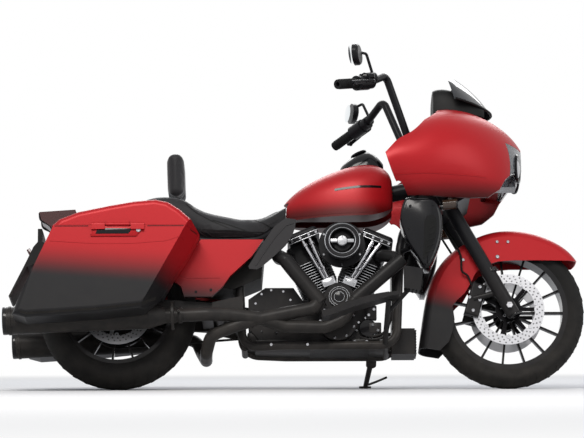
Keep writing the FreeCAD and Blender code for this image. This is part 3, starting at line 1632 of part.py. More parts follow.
SEAT_STATION_SHARES = [
    (0.0, 0.60, 0.90, 0.60), (0.07, 0.74, 0.965, 0.58), (0.16, 0.78, 0.985, 0.56), (0.25, 0.78, 0.96, 0.50),
    (0.33, 0.80, 0.86, 0.30), (0.42, 0.90, 0.66, 0.06), (0.54, 1.0, 0.50, 0.0), (0.66, 1.0, 0.40, 0.0),
    (0.76, 0.92, 0.41, 0.0), (0.86, 0.66, 0.60, 0.02), (0.93, 0.44, 0.80, 0.26), (0.985, 0.30, 0.93, 0.60),
]


def seat_shape():
    long = tank_rear() + mm("seat_overlap") - mm("seat_rear")
    return loft_stations(SEAT_STATION_SHARES, mm("seat_rear"), long, mm("seat_half_width"),
                         seat_low(), mm("seat_height"), 0.80, 0.90)


def make_seat():
    """The seat, clear of the rails, tank, mudguard and backrest post by the seat gap."""
    gap = mm("seat_gap")
    tank = tank_shape()
    tank.translate(Vector(-gap, 0, 0))
    seat = seat_shape()
    for block in rail_space(gap) + [tank, rear_fender_block(), backrest_post(gap)]:
        seat = seat.cut(block)
    feature("seat", max(seat.Solids, key=lambda s: s.Volume))


def backrest_post(gap):
    """The flat post that carries the backrest, up from the mudguard, wider by a gap."""
    half, thick = mm("post_half_width") + gap, mm("post_thickness") + 2 * gap
    low = mm("rail_height")
    high = mm("pad_low") + mm("post_depth") + gap
    return Part.makeBox(thick, 2 * half, high - low, Vector(mm("pad_x") - thick / 2, -half, low))


def make_backrest():
    """The rider's backrest: a soft pad on a post that stands on a foot on the mudguard."""
    thick, half = mm("pad_thickness"), mm("pad_half_width")
    cushion = Part.makeBox(thick, 2 * half, mm("pad_height"), Vector(-thick / 2, -half, 0))
    cushion = soften(cushion, thick * 0.42)
    cushion.Placement = Placement(Vector(mm("pad_x"), 0, mm("pad_low")),
                                  Rotation(Vector(0, 1, 0), -mm("pad_recline")))
    feature("backrest_pad", cushion.cut(backrest_post(mm("seat_gap"))))
    feature("backrest_frame", backrest_post(0).cut(rear_fender_block()))


def fender_ring(radius, half_width, depth):
    """The solid space inside a round mudguard's skin, all round its centre."""
    centre = Vector(mm("rear_fender_x"), 0, mm("rear_fender_z"))
    crown = half_width * 0.42
    rows = [(-half_width, radius - depth), (-half_width, radius - crown), (-half_width * 0.8, radius - crown * 0.34),
            (0, radius), (half_width * 0.8, radius - crown * 0.34), (half_width, radius - crown),
            (half_width, radius - depth)]
    points = [centre + Vector(0, y, height) for y, height in rows]
    top = Part.BSplineCurve()
    top.interpolate(points[1:-1])
    wire = Part.Wire([Part.LineSegment(points[0], points[1]).toShape(), top.toShape(),
                      Part.LineSegment(points[-2], points[-1]).toShape(),
                      Part.LineSegment(points[-1], points[0]).toShape()])
    return Part.Face(wire).revolve(centre, Vector(0, 1, 0), 360)


FENDER_WINDOW_SHARES = [
    (0.463, 0.52), (0.55, 1.1), (-1.2, 1.1), (-1.2, 0.08), (-0.88, 0.08), (-0.72, 0.36), (-0.4, 0.56),
]


def make_rear_fender():
    radius = mm("rear_fender_radius")
    thick = mm("fender_thickness")
    half = mm("rear_fender_half_width")
    ring = fender_ring(radius, half, radius * 0.42).cut(fender_ring(radius - thick, half - thick, radius * 0.5))
    window = prism(fitted(FENDER_WINDOW_SHARES, mm("rear_fender_x"), radius, mm("rear_fender_z"), radius),
                   -radius, radius)
    feature("rear_fender", ring.common(window))


def rear_fender_block():
    """The space under and inside the rear fender's skin, for pieces that sit on it."""
    gap = mm("seat_gap")
    return fender_ring(mm("rear_fender_radius") + gap, mm("rear_fender_half_width") + gap,
                       mm("rear_fender_radius") * 0.9)


SIDE_COVER_SHARES = [
    (0.3065, 1), (1, 0.9959), (0.871, 0.6996), (0.6344, 0.3663), (0.5484, 0.1728), (0.4274, 0), (0.1237, 0),
    (0.0914, 0.1728), (0, 0.2881), (0.0403, 0.4156), (0.172, 0.7407),
]
DEFLECTOR_SHARES = [
    (1, 0.9725), (0.7817, 1), (0.5431, 0.8349), (0.2792, 0.4771), (0, 0.0642), (0.0152, 0.0092), (0.1624, 0),
    (0.2792, 0.0642), (0.5736, 0.2844), (0.7817, 0.4771), (0.9137, 0.6422), (0.9797, 0.8349),
]


def deflector_block():
    y = mm("deflector_y")
    outline = fitted(DEFLECTOR_SHARES, mm("deflector_rear"), mm("deflector_length"), mm("deflector_low"),
                     mm("deflector_height"))
    return prism(outline, y, y + mm("deflector_thickness"))


def make_side_covers():
    y = mm("cover_y")
    tall = mm("rail_height") - mm("peg_radius") * 1.22 - mm("cover_low")
    outline = fitted(SIDE_COVER_SHARES, mm("cover_rear"), mm("cover_length"), mm("cover_low"), tall)
    feature("side_covers", pair(prism(outline, y, y + mm("cover_thickness"))))
    feature("heat_deflector", mirrored(deflector_block()))


BATTERY_BOX_SHARES = [
    (0, 0.1064), (0.4962, 0), (0.9542, 0.266), (1, 1), (0, 1),
]


def make_battery_box():
    """The box between the frame's uprights, under the seat."""
    low, high = mm("battery_low"), mm("rail_height") - mm("rail_radius") - mm("panel_gap")
    half = mm("battery_half_width")
    box = prism(fitted(BATTERY_BOX_SHARES, mm("battery_rear"), mm("battery_length"), low, high - low), -half, half)
    for block in both_tubes(cradle_path(), mm("cradle_radius")):
        box = box.cut(block)
    feature("battery_box", box)


def make_oil_cooler():
    """The radiator between the cradle's front tubes."""
    half, thick = mm("cooler_half_width"), mm("cooler_thickness")
    low = mm("cooler_low")
    core = Part.makeBox(thick, 2 * half, mm("cooler_high") - low, Vector(mm("cradle_front") - thick / 2, -half, low))
    for block in both_tubes(cradle_path(), mm("cradle_radius")):
        core = core.cut(block)
    feature("oil_cooler", core)


BAG_OUTLINE_SHARES = [
    (0.0147, 0.0939), (0, 0.0286), (0.0693, 0), (0.448, 0.0367), (0.7053, 0.0796), (0.788, 0.1878),
    (0.8547, 0.3816), (0.94, 0.5918),
]
LID_TOP_SHARES = [
    (0.248, 0.8306), (0.352, 0.8939), (0.5253, 0.949), (0.6547, 0.9837), (0.768, 0.998), (0.8373, 0.9755),
    (0.9027, 0.9102), (0.9667, 0.8204),
]
HINGE_PLATE_SHARES = [
    (0.4187, 0.6898), (0.6733, 0.6898), (0.7027, 0.7551), (0.4387, 0.7551),
]
BAG_TOP_SHARES = (1.0000, 0.2187)
LID_BASE_SHARES = (0.2067, 1.0027)
BAG_FRONT_SHARES = [(0.9987, 0.3532, 0.7755), (0.9333, 0.9745, 0.7633), (0.8213, 0.3532, 0.2776)]


def on_bag(shares):
    """Points of a saddlebag's side outline from their shares."""
    return fitted(shares, mm("bag_rear"), mm("bag_length"), mm("bag_low"), mm("bag_height"))


def bag_outline():
    """The saddlebag's side outline below the lid line."""
    front, rear = [mm("bag_rear") + share * mm("bag_length") for share in BAG_TOP_SHARES]
    return [(rear, mm("bag_lid_line"))] + on_bag(BAG_OUTLINE_SHARES) + [(front, mm("bag_lid_line"))]


def bag_front(wall):
    """Space ahead of the saddlebag's slanted front face, or of that face drawn in by a wall."""
    long, wide, tall = mm("bag_length"), mm("bag_outer_y") - mm("bag_inner_y"), mm("bag_height")
    corner, outer, lower = [Vector(mm("bag_rear") + a * long, mm("bag_inner_y") + b * wide, mm("bag_low") + c * tall)
                            for a, b, c in BAG_FRONT_SHARES]
    across, down = outer - corner, lower - corner
    ahead = down.cross(across).normalize()
    if ahead.x < 0:
        ahead = ahead * -1
    corner = corner - ahead * wall
    face = [corner + across * a + down * b for a, b in ((-2, -2), (3, -2), (3, 3), (-2, 3))]
    return Part.Face(polygon(face)).extrude(ahead * long)


def bag_block():
    """The left saddlebag's outside form, below its lid."""
    low_y, high_y = mm("bag_inner_y"), mm("bag_outer_y")
    line = mm("bag_lid_line")
    outer = prism(bag_outline(), low_y, high_y)
    outer = soften(outer, mm("bag_round"),
                   lambda e: along_bike(e) and e.BoundBox.YMin > high_y - 1 and e.BoundBox.ZMax < line - 1)
    wide, tall = mm("bag_step_y") - low_y, mm("bag_step_z") - mm("bag_low")
    step = Part.makeBox(mm("bag_length") * 1.2, 2 * wide, 2 * tall,
                        Vector(mm("bag_rear") - mm("bag_length") / 10, low_y - wide, mm("bag_low") - tall))
    return outer.cut(step).cut(bag_front(0))


def bag_cavity():
    """The room inside the left saddlebag, up to the flange that the lid closes on."""
    low_y, high_y, wall = mm("bag_inner_y"), mm("bag_outer_y"), mm("bag_wall")
    face = Part.Face(polygon([Vector(x, 0, z) for x, z in bag_outline()]))
    room = face.makeOffset2D(-wall).extrude(Vector(0, high_y - low_y - 2 * wall, 0))
    room.translate(Vector(0, low_y + wall, 0))
    long, floor = mm("bag_length"), mm("bag_step_z") + 2.5 * wall
    above = Part.makeBox(2 * long, 2 * high_y, mm("bag_height"), Vector(mm("bag_rear") - long / 2, 0, floor))
    return room.common(above).cut(bag_front(wall))


def bag_mouth():
    """The opening through the flange under the lid."""
    low_y, high_y, wall = mm("bag_inner_y"), mm("bag_outer_y"), mm("bag_wall")
    edge = mm("lid_edge")
    front, rear = [mm("bag_rear") + share * mm("bag_length") for share in BAG_TOP_SHARES]
    mouth = Part.makeBox(front - rear - edge * 2, high_y - low_y - 2 * wall - edge, edge * 2,
                         Vector(rear + edge, low_y + 2 * wall, mm("bag_lid_line") - edge))
    return mouth.cut(bag_front(edge / 2))


def make_saddlebags():
    high_y = mm("bag_outer_y")
    bag = bag_block().cut(bag_cavity()).cut(bag_mouth())
    knuckle, gap = mm("knuckle_length"), mm("knuckle_gap")
    start, end = mm("hinge_x"), mm("hinge_x") + 2 * knuckle + 2 * gap + mm("barrel_length_lid")
    thick = mm("hinge_plate_thickness")
    plate = prism(on_bag(HINGE_PLATE_SHARES), high_y - thick / 3, high_y + thick)
    pin = rod(Vector(start, mm("hinge_y"), mm("hinge_z")), Vector(end, mm("hinge_y"), mm("hinge_z")),
              mm("hinge_pin_radius"))
    bag = fuse([bag, plate, pin, hinge_knuckle(start), hinge_knuckle(end - knuckle)])
    feature("left_saddlebag", bag)
    feature("right_saddlebag", mirrored(bag))
    make_lids()


def hinge_knuckle(start):
    """A barrel of the lid hinge on the bag's outer face, with the web down to the plate."""
    y, z, radius, long = mm("hinge_y"), mm("hinge_z"), mm("hinge_radius"), mm("knuckle_length")
    face = mm("bag_outer_y")
    barrel = rod(Vector(start, y, z), Vector(start + long, y, z), radius)
    web = Part.makeBox(long, y + radius - face, radius * 3, Vector(start, face, z - radius * 3))
    inside = Part.makeBox(long, face, radius * 4, Vector(start, 0, z - radius * 1.7))
    return barrel.fuse(web).cut(inside)


def lid_shell(floor):
    """The left lid's crowned shell above the lid line."""
    low_y, high_y, wall = mm("bag_inner_y"), mm("bag_outer_y"), mm("bag_wall")
    rear, front = [mm("bag_rear") + share * mm("bag_length") for share in LID_BASE_SHARES]
    top = on_bag(LID_TOP_SHARES)
    lid = prism([(rear, floor)] + top + [(front, floor)], low_y, high_y)
    lid = soften(lid, mm("lid_round"), lambda e: e.BoundBox.YMin > high_y - 1 and e.BoundBox.ZMax > floor + 1)
    edge, under = mm("lid_edge"), floor - mm("panel_gap")
    middle = (rear + front) / 2
    inner = [(middle + (x - middle) * 0.94, max(z - 2.5 * wall, under)) for x, z in top]
    hollow = prism([(rear + edge, under)] + inner + [(front - edge, under)], low_y + 2 * wall, high_y - wall - edge)
    lid = lid.cut(bag_front(0)).cut(hollow.cut(bag_front(2.5 * wall)))
    return max(lid.Solids, key=lambda s: s.Volume)


def make_lids():
    high_y, floor = mm("bag_outer_y"), mm("bag_lid_line") + mm("panel_gap")
    y, z, radius = mm("hinge_y"), mm("hinge_z"), mm("hinge_radius")
    start = mm("hinge_x") + mm("knuckle_length") + mm("knuckle_gap")
    long = mm("barrel_length_lid")
    thick = mm("hinge_plate_thickness")
    barrel = rod(Vector(start, y, z), Vector(start + long, y, z), radius)
    web = Part.makeBox(long, y - high_y + thick, radius * 2.6, Vector(start, high_y - thick, floor))
    bore = rod(Vector(start - radius, y, z), Vector(start + long + radius, y, z),
               mm("hinge_pin_radius") + mm("axle_clearance"))
    lid = fuse([lid_shell(floor), web, barrel]).cut(bore)
    feature("left_bag_lid", lid)
    feature("right_bag_lid", mirrored(lid))


FAIRING_SIDE_SHARES = [
    (0, 0.4518), (0.0595, 0.5529), (0.1684, 0.6329), (0.2551, 0.7129), (0.3316, 0.7953), (0.3759, 0.8588),
    (0.4082, 0.9765), (0.4354, 1.1506), (1.1156, 1.1506), (1.1156, 0.4918), (0.949, 0.3506), (0.8673, 0.2212),
    (0.8265, 0.1153), (0.7415, 0.0259), (0.6105, 0.0047), (0.3997, 0), (0.1463, 0), (0.1088, 0.0635),
    (0.0782, 0.1294), (0.0527, 0.2047), (0.0306, 0.2847), (0.0119, 0.3694),
]
FAIRING_STATION_SHARES = [
    (0.0, 1.0, 0.70, 0.0), (0.2, 1.0, 0.86, 0.0), (0.42, 0.95, 0.975, 0.0), (0.6, 0.84, 0.965, 0.0),
    (0.76, 0.68, 0.89, 0.0), (0.88, 0.50, 0.79, 0.06), (0.96, 0.30, 0.69, 0.16), (1.0, 0.13, 0.62, 0.28),
]


def on_fairing(shares):
    """Points of a side outline from their shares of the fairing's length and height."""
    return fitted(shares, mm("fairing_rear"), mm("fairing_length"), mm("fairing_low"), mm("fairing_height"))


def fairing_side():
    """Space inside the fairing's side outline."""
    reach = mm("fairing_half_width") * 1.25
    return prism(on_fairing(FAIRING_SIDE_SHARES), -reach, reach)


def fairing_skin(inset):
    """The fairing's outer form, or the same form drawn in by a wall."""
    tall = mm("fairing_height")
    wires = []
    for along, wide, top, bottom in FAIRING_STATION_SHARES:
        x = mm("fairing_rear") + along * (mm("fairing_length") - inset)
        low = mm("fairing_low") + (bottom - 0.047) * tall + inset
        high = mm("fairing_low") + (top + 0.0282) * tall - inset
        wires.append(shark_wire(x, wide * mm("fairing_half_width") - inset, low, high))
    return loft(wires)


def shark_wire(x, half_width, low, high):
    tall = high - low
    rows = [(0.62, 0.0), (0.90, 0.17), (1.0, 0.40), (0.93, 0.66), (0.66, 0.88), (0.34, 0.97), (0.0, 1.0)]
    right = [Vector(x, -share * half_width, low + up * tall) for share, up in rows]
    left = [Vector(p.x, -p.y, p.z) for p in reversed(right[:-1])]
    curve = Part.BSplineCurve()
    curve.interpolate(right + left)
    base = Part.LineSegment(left[-1], right[0]).toShape()
    return Part.Wire([curve.toShape(), base])


DASH_SHARES = [
    (0.5646, 0.6141), (0.4184, 0.9388), (0.4184, 1.0094), (0.6395, 1.0094), (0.6395, 0.6141),
]
LAMP_LENGTH_SHARES = (0.6735, 1.1156)
LAMP_HEIGHT_SHARES = (0.2376, 0.6047)
LAMP_WIDTH_SHARE = 0.445
LAMP_BRACKET_SHARES = (0.779, 0.242)


def fairing_shell():
    """The fairing's wall, open at the rear, at the bottom between the fork legs, and at the lamps."""
    wall, side = mm("fairing_wall"), fairing_side()
    inner = fairing_skin(wall)
    behind = inner.copy()
    behind.translate(Vector(-mm("fairing_length") / 10, 0, 0))
    long, half = mm("fairing_length") * 0.61, mm("fork_half_spacing") * 1.48
    deep = mm("fairing_height") * 0.33
    below = Part.makeBox(long, 2 * half, deep,
                         Vector(mm("fairing_rear") - wall * 2, -half, mm("fairing_low") - deep * 0.37))
    shell = fairing_skin(0).common(side).cut(inner).cut(behind).cut(below).cut(lamp_window(mm("panel_gap")))
    return max(shell.Solids, key=lambda s: s.Volume)


def make_headlamp():
    wall = mm("fairing_wall")
    inside = fairing_skin(wall * 3)
    lens = fairing_skin(0).common(fairing_side()).cut(inside).common(lamp_window(0))
    x, z = on_fairing([LAMP_BRACKET_SHARES])[0]
    long, half, tall = mm("fairing_length") * 0.272, mm("fairing_half_width") * 0.1125, mm("fairing_height") * 0.141
    bracket = Part.makeBox(long, 2 * half, tall, Vector(x, -half, z)).common(inside)
    lamp = fuse([lens, bracket])
    feature("headlamp", max(lamp.Solids, key=lambda s: s.Volume))


def make_fairing():
    shell = fairing_shell()
    feature("fairing", shell)
    make_headlamp()
    half = mm("fairing_half_width") * 0.9
    inside = fairing_skin(mm("fairing_wall")).common(fairing_side())
    panel = prism(on_fairing(DASH_SHARES), -half, half).common(inside)
    long, tall = mm("fairing_length"), mm("fairing_height")
    hood = loft_stations(HOOD_STATION_SHARES, mm("fairing_rear") + long * 0.37, long * 0.366,
                         mm("fairing_half_width") * 0.375, mm("fairing_low") + tall * 0.915, tall * 0.322, 0.8, 0.88)
    dash = fuse([panel, hood]).cut(shell).cut(screen_shape())
    feature("dash", max(dash.Solids, key=lambda s: s.Volume))


def lamp_window(extra):
    """The opening in the fairing's nose for the twin headlamp."""
    rear, front = [mm("fairing_rear") + share * mm("fairing_length") for share in LAMP_LENGTH_SHARES]
    low, high = [mm("fairing_low") + share * mm("fairing_height") for share in LAMP_HEIGHT_SHARES]
    half = mm("fairing_half_width") * LAMP_WIDTH_SHARE + extra
    return Part.makeBox(front - rear, 2 * half, high - low + 2 * extra, Vector(rear, -half, low - extra))


HOOD_STATION_SHARES = [(0.0, 0.9, 0.96, 0.1), (0.25, 1.0, 1.0, 0.0), (0.6, 1.0, 0.75, 0.0), (1.0, 0.7, 0.36, 0.0)]


SCREEN_ROW_SHARES = [
    [(0.5238, 0.4900, 1.0518), (0.6020, 0.4400, 1.0329), (0.6871, 0.3250, 1.0165),
     (0.7687, 0.1550, 1.0047), (0.7959, 0.0000, 1.0000)],
    [(0.5068, 0.4300, 1.1553), (0.5714, 0.3650, 1.1647), (0.6395, 0.2500, 1.1647),
     (0.6939, 0.1100, 1.1647), (0.7075, 0.0000, 1.1647)],
    [(0.4864, 0.3250, 1.2824), (0.5068, 0.2600, 1.3106), (0.5272, 0.1700, 1.3388),
     (0.5374, 0.0750, 1.3624), (0.5408, 0.0000, 1.3694)],
]


def screen_shape():
    """A curved sheet through rows of points, run back by its thickness."""
    size_of = Vector(mm("fairing_length"), mm("fairing_half_width"), mm("fairing_height"))
    base = Vector(mm("fairing_rear"), 0, mm("fairing_low"))
    rows = []
    for row in SCREEN_ROW_SHARES:
        half = [base + Vector(a * size_of.x, b * size_of.y, c * size_of.z) for a, b, c in row]
        rows.append(half + [Vector(p.x, -p.y, p.z) for p in reversed(half[:-1])])
    surface = Part.BSplineSurface()
    surface.interpolate(rows)
    return Part.Face(surface).extrude(Vector(-mm("screen_thickness"), 0, -mm("screen_thickness") / 2))


LOWER_OUTLINE_SHARES = [
    (0.1186, 1), (0, 0.7565), (0.0904, 0.4805), (0.3729, 0.2045), (0.6893, 0), (0.9944, 0.4123), (1, 0.7597),
    (0.7345, 1),
]
LOWER_SLOT_SHARES = [
    (0.565, 0.1071), (0.8362, 0.3994), (0.8362, 0.724), (0.5989, 0.724),
]


def on_lower(shares):
    return fitted(shares, mm("lower_rear"), mm("lower_length"), mm("lower_low"), mm("lower_height"))


def lower_block():
    y, outer = mm("lower_y"), mm("lower_y") + mm("lower_thickness")
    block = prism(on_lower(LOWER_OUTLINE_SHARES), y, outer)
    return soften(block, mm("lower_round"), lambda e: e.BoundBox.YMin > outer - 1)


def make_lowers():
    outer = mm("lower_y") + mm("lower_thickness")
    slot = prism(on_lower(LOWER_SLOT_SHARES), outer - mm("lower_thickness") / 4, outer + mm("lower_thickness"))
    feature("lower_fairings", pair(lower_block().cut(slot)))


BOARD_SHARES = [
    (0, 0.2453), (0.1111, 0.3113), (0.2667, 0.5094), (0.6254, 0.8208), (0.8857, 0.9623), (1, 1), (1, 0.8679),
    (0.8857, 0.8019), (0.6254, 0.5755), (0.3683, 0.3396), (0.1111, 0.0472), (0.0159, 0),
]
PEDAL_SHARES = [
    (1.0698, 1.2075), (1.2794, 1.0943), (1.3206, 1.9623), (1.073, 2.0849),
]
ARM_SHARES = (0.841, 0.873, 0.85)
LEVER_SHARES = (1.143, 1.274)


def on_board(shares):
    return fitted(shares, mm("board_rear"), mm("board_length"), mm("board_low"), mm("board_rise"))


def board_arm():
    """The arm that carries the left footboard, from the lower frame tube."""
    foot, tip, up = ARM_SHARES
    x, long = mm("board_rear"), mm("board_length")
    start = Vector(x + foot * long, mm("cradle_half_width"), mm("cradle_low"))
    return start, Vector(x + tip * long, mm("board_y") + mm("board_width") * 0.3, mm("board_low") + up * mm("board_rise"))


def make_boards():
    y, radius = mm("board_y"), mm("board_arm_radius")
    start, end = board_arm()
    tube_space = tube(cradle_path(), mm("cradle_radius"), mm("tube_bend"))
    one = fuse([prism(on_board(BOARD_SHARES), y, y + mm("board_width")), rod(start, end, radius)]).cut(tube_space)
    feature("footboards", pair(one))
    toe = prism(on_board(PEDAL_SHARES), y - radius / 3, y - radius / 3 + mm("pedal_width"))
    x, z = on_board([LEVER_SHARES])[0]
    lever = rod(start + (end - start) * 0.7, Vector(x, y + radius, z), radius * 0.82)
    feature("brake_pedal", mirrored(fuse([toe, lever]).cut(one)))


def regulator_block():
    """The finned box low down at the front of the frame."""
    half = mm("regulator_half_width")
    return Part.makeBox(mm("regulator_length"), 2 * half, mm("regulator_height"),
                        Vector(mm("regulator_x"), -half, mm("regulator_low")))


TAIL_LAMP_SHARES = [
    (-0.8819, 0.9514), (-0.8611, 0.8727), (-0.7731, 0.8125), (-0.7222, 0.706), (-0.5556, 0.6597),
    (-0.463, 0.7986), (-0.5324, 0.9745),
]
PLATE_HOLDER_SHARES = [
    (-0.8472, 0.7708), (-0.8889, 0.7708), (-0.8889, 0.6412), (-0.9306, 0.5903), (-1.0046, 0.4282),
    (-1.162, 0.1042), (-1.1435, 0.0949), (-0.9861, 0.4005), (-0.7176, 0.4745), (-0.787, 0.6134),
    (-0.8472, 0.6412),
]
SIGNAL_SHARES = (0.418, -0.0682)


def on_rear_fender(shares):
    """Points of a side outline from their shares of the rear mudguard's radius."""
    radius = mm("rear_fender_radius")
    return fitted(shares, mm("rear_fender_x"), radius, mm("rear_fender_z"), radius)


def on_mudguard(name, shares, half):
    """A piece across the mudguard's crown, shaped by it underneath."""
    piece = prism(on_rear_fender(shares), -half, half).cut(rear_fender_block())
    feature(name, max(piece.Solids, key=lambda s: s.Volume))


def make_lamps():
    on_mudguard("tail_lamp", TAIL_LAMP_SHARES, mm("lamp_half_width"))
    on_mudguard("plate_holder", PLATE_HOLDER_SHARES, mm("plate_half_width"))
    feature("regulator", regulator_block())
    x, z = on_fairing([SIGNAL_SHARES])[0]
    y, long, radius = mm("signal_y"), mm("signal_length"), mm("signal_radius")
    body = rod(Vector(x, y, z), Vector(x + long, y, z + radius * 0.3), radius)
    stalk = rod(Vector(x + long / 2, y, z), Vector(x + long / 2, y, z + radius * 3.2), mm("stalk_radius"))
    signal = fuse([body, stalk]).cut(fairing_skin(0).common(fairing_side()))
    feature("turn_signals", pair(max(signal.Solids, key=lambda s: s.Volume)))


# Side stand


def stand_axis():
    return Vector(0, sin_of(mm("stand_tilt")), cos_of(mm("stand_tilt")))


def stand_pivot():
    return Vector(mm("stand_pivot_x"), mm("stand_pivot_y"), mm("stand_pivot_z"))


def make_stand():
    pivot = stand_pivot()
    foot = stand_foot()
    axis = stand_axis()
    half = mm("stand_eye_half")
    leg = Part.makeCone(mm("stand_radius"), mm("stand_radius") * 0.85, (foot - pivot).Length, pivot, foot - pivot)
    down = lean().inverse().Rotation.multVec(Vector(0, 0, 1))
    pad_disc = Part.makeCylinder(mm("foot_radius"), mm("foot_thickness"), foot, down)
    eye = rod(pivot - axis * half, pivot + axis * half, mm("stand_radius") * 1.7)
    hole = rod(pivot - axis * 2 * half, pivot + axis * 2 * half, mm("stand_radius") / 2 + mm("axle_clearance"))
    feature("side_stand", fuse([leg, pad_disc, eye]).cut(hole))


def stand_ears():
    """Two plates and the pin that carry the side stand, welded to the left lower tube."""
    pivot = stand_pivot()
    axis = stand_axis()
    half = mm("stand_eye_half") + mm("axle_clearance")
    thick = mm("fender_thickness") * 1.2
    wide = mm("stand_radius") * 1.8
    shapes = [rod(pivot - axis * (half + thick), pivot + axis * (half + thick), mm("stand_radius") / 2)]
    for low in (half, -half - thick):
        plate = Part.makeBox(2 * wide, mm("stand_pivot_y") - mm("cradle_half_width"), thick,
                             Vector(-wide, -mm("stand_pivot_y") + mm("cradle_half_width"), low))
        plate.Placement = Placement(pivot, Rotation(Vector(1, 0, 0), -mm("stand_tilt")))
        shapes.append(plate)
        shapes.append(rod(pivot + axis * low, pivot + axis * (low + thick), wide))
    return shapes


def stand_foot():
    """Centre of the stand's foot, on the ground under the leaning bike."""
    pose = lean()
    x, y = mm("stand_foot_x"), mm("stand_foot_y")
    low = 0.0
    high = mm("stand_pivot_z") * 2
    for step in range(60):
        middle = (low + high) / 2
        if pose.multVec(Vector(x, y, middle)).z > 0:
            high = middle
        else:
            low = middle
    return Vector(x, y, high)


def finish():
    """Lean every piece onto the ground, centre the bike on the origin, check the pieces and write them."""
    pose = lean()
    for name, item, place in nodes:
        item.Placement = pose.multiply(place)
    doc.recompute()
    total = FreeCAD.BoundBox()
    for name, item, place in nodes:
        total.add(item.Shape.optimalBoundingBox(False))
    centre = Vector(total.Center.x, total.Center.y, 0)
    for name, item, place in nodes:
        moved = item.Placement
        moved.Base = moved.Base - centre
        item.Placement = moved
    doc.recompute()
    for item in doc.Objects:
        if "Invalid" in item.State or "Error" in item.State:
            raise RuntimeError("%s is %s" % (item.Name, item.State))
    for name, item, place in nodes:
        if item.Shape.isNull() or not item.Shape.isValid():
            raise RuntimeError("%s has no valid shape" % name)
    os.makedirs("parts", exist_ok=True)
    for name, item, place in nodes:
        shape = item.Shape
        shape.exportStep("parts/%s.step" % name)
        print("%-18s %2d solids  %9.0f cm3" % (name, len(shape.Solids), shape.Volume / 1000))
    print("origin shift", centre, "lift", lean_lift(), "front axle", front_axle())


fill_sheet()
make_wheels()
make_fork()
make_handlebar()
make_front_fender()
make_calipers()
make_frame()
make_swingarm()
make_shocks()
make_rear_brake()
make_crankcase()
make_belt()
make_cylinders()
make_rocker_covers()
make_engine_covers()
make_pushrods()
make_air_cleaner()
make_exhaust()
make_tank()
make_seat()
make_backrest()
make_rear_fender()
make_side_covers()
make_battery_box()
make_oil_cooler()
make_saddlebags()
make_fairing()
feature("windscreen", screen_shape())
make_lowers()
make_boards()
make_lamps()
make_stand()
finish()
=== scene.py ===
"""Looks of a touring cruiser motorcycle leaning on its side stand: camera, light, finishes and fine pieces.

Pieces are drawn in the upright bike's own millimetres (X forward of the rear axle, Y to the rider's left,
Z up) and put in the leaning frame by the matrix BIKE. Outlines are (x, z) points, and a side is -1 on the
rider's right and 1 on the left.
"""

import json
import math

import bmesh
import bpy
from mathutils import Matrix, Vector
from mathutils.bvhtree import BVHTree


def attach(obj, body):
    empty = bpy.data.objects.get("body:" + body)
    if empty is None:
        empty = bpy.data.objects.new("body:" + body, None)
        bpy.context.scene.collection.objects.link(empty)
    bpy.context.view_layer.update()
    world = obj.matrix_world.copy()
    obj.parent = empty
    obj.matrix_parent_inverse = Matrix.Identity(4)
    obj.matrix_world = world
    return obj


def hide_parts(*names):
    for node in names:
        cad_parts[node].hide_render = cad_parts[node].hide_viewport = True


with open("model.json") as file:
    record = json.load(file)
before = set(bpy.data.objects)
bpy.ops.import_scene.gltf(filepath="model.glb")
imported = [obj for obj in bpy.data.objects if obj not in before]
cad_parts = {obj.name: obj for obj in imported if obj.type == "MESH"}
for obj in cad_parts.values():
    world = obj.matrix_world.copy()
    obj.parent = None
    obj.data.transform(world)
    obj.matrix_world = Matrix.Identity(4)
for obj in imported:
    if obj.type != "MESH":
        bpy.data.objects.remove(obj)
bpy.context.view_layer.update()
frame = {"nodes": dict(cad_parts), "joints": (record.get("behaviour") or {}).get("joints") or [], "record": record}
joints = {j["name"]: j for j in frame["joints"]}
nodes = frame["nodes"]
slots = {part["node"]: part["material_slot"] for part in frame["record"]["subparts"]}

SIDES = ((-1, "right"), (1, "left"))
RIGHT = Vector((0, -1, 0))
TINY = 0.01

# Places on the upright bike
AXLE_HEIGHT = 327.6
FRONT_AXLE = Vector((1625.0, 0.0, 318.7))
REAR_AXLE = Vector((0.0, 0.0, AXLE_HEIGHT))
CRANK = Vector((915, 0, 250))
BANK_ANGLE = math.radians(22.5)
MUFFLER_TAIL = Vector((-458, 0, 240))
MUFFLER_WAY = Vector((708, 0, 22))
MUFFLER_Y = 230
LIFTER_X = {-1: 879, 1: 967}
CAM_COVER = (915, 259)
ROUND_COVER = Vector((922, -143, 360))
FRONT_COVER = Vector((1040, -92, 235))
CLEANER = (934, 574)
BACKPLATE = (934, 581)


def bike_matrix():
    """Row frame from upright bike millimetres."""
    wheel = joints["rear_wheel_spin"]
    axis = Vector(wheel["axis"])
    lean = math.atan2(-axis.z, axis.y)
    place = Matrix.Translation(Vector(wheel["pos_m"])) @ Matrix.Rotation(-lean, 4, "X")
    return place @ Matrix.Scale(0.001, 4) @ Matrix.Translation((0, 0, -AXLE_HEIGHT))


BIKE = bike_matrix()


# Shader nodes


def add_node(tree, kind, **given):
    """A shader node with settings, and inputs as values or other nodes' outputs; i0 is input number 0."""
    node = tree.nodes.new(kind)
    for name, value in given.items():
        if hasattr(node, name):
            setattr(node, name, value)
            continue
        key = int(name[1:]) if name[0] == "i" and name[1:].isdigit() else name.replace("_", " ")
        if isinstance(value, bpy.types.NodeSocket):
            tree.links.new(value, node.inputs[key])
        else:
            node.inputs[key].default_value = value
    return node


def add_math(tree, operation, *values, clamp=False):
    """The output of a sum of numbers or sockets."""
    inputs = {f"i{n}": value for n, value in enumerate(values)}
    return add_node(tree, "ShaderNodeMath", operation=operation, use_clamp=clamp, **inputs).outputs[0]


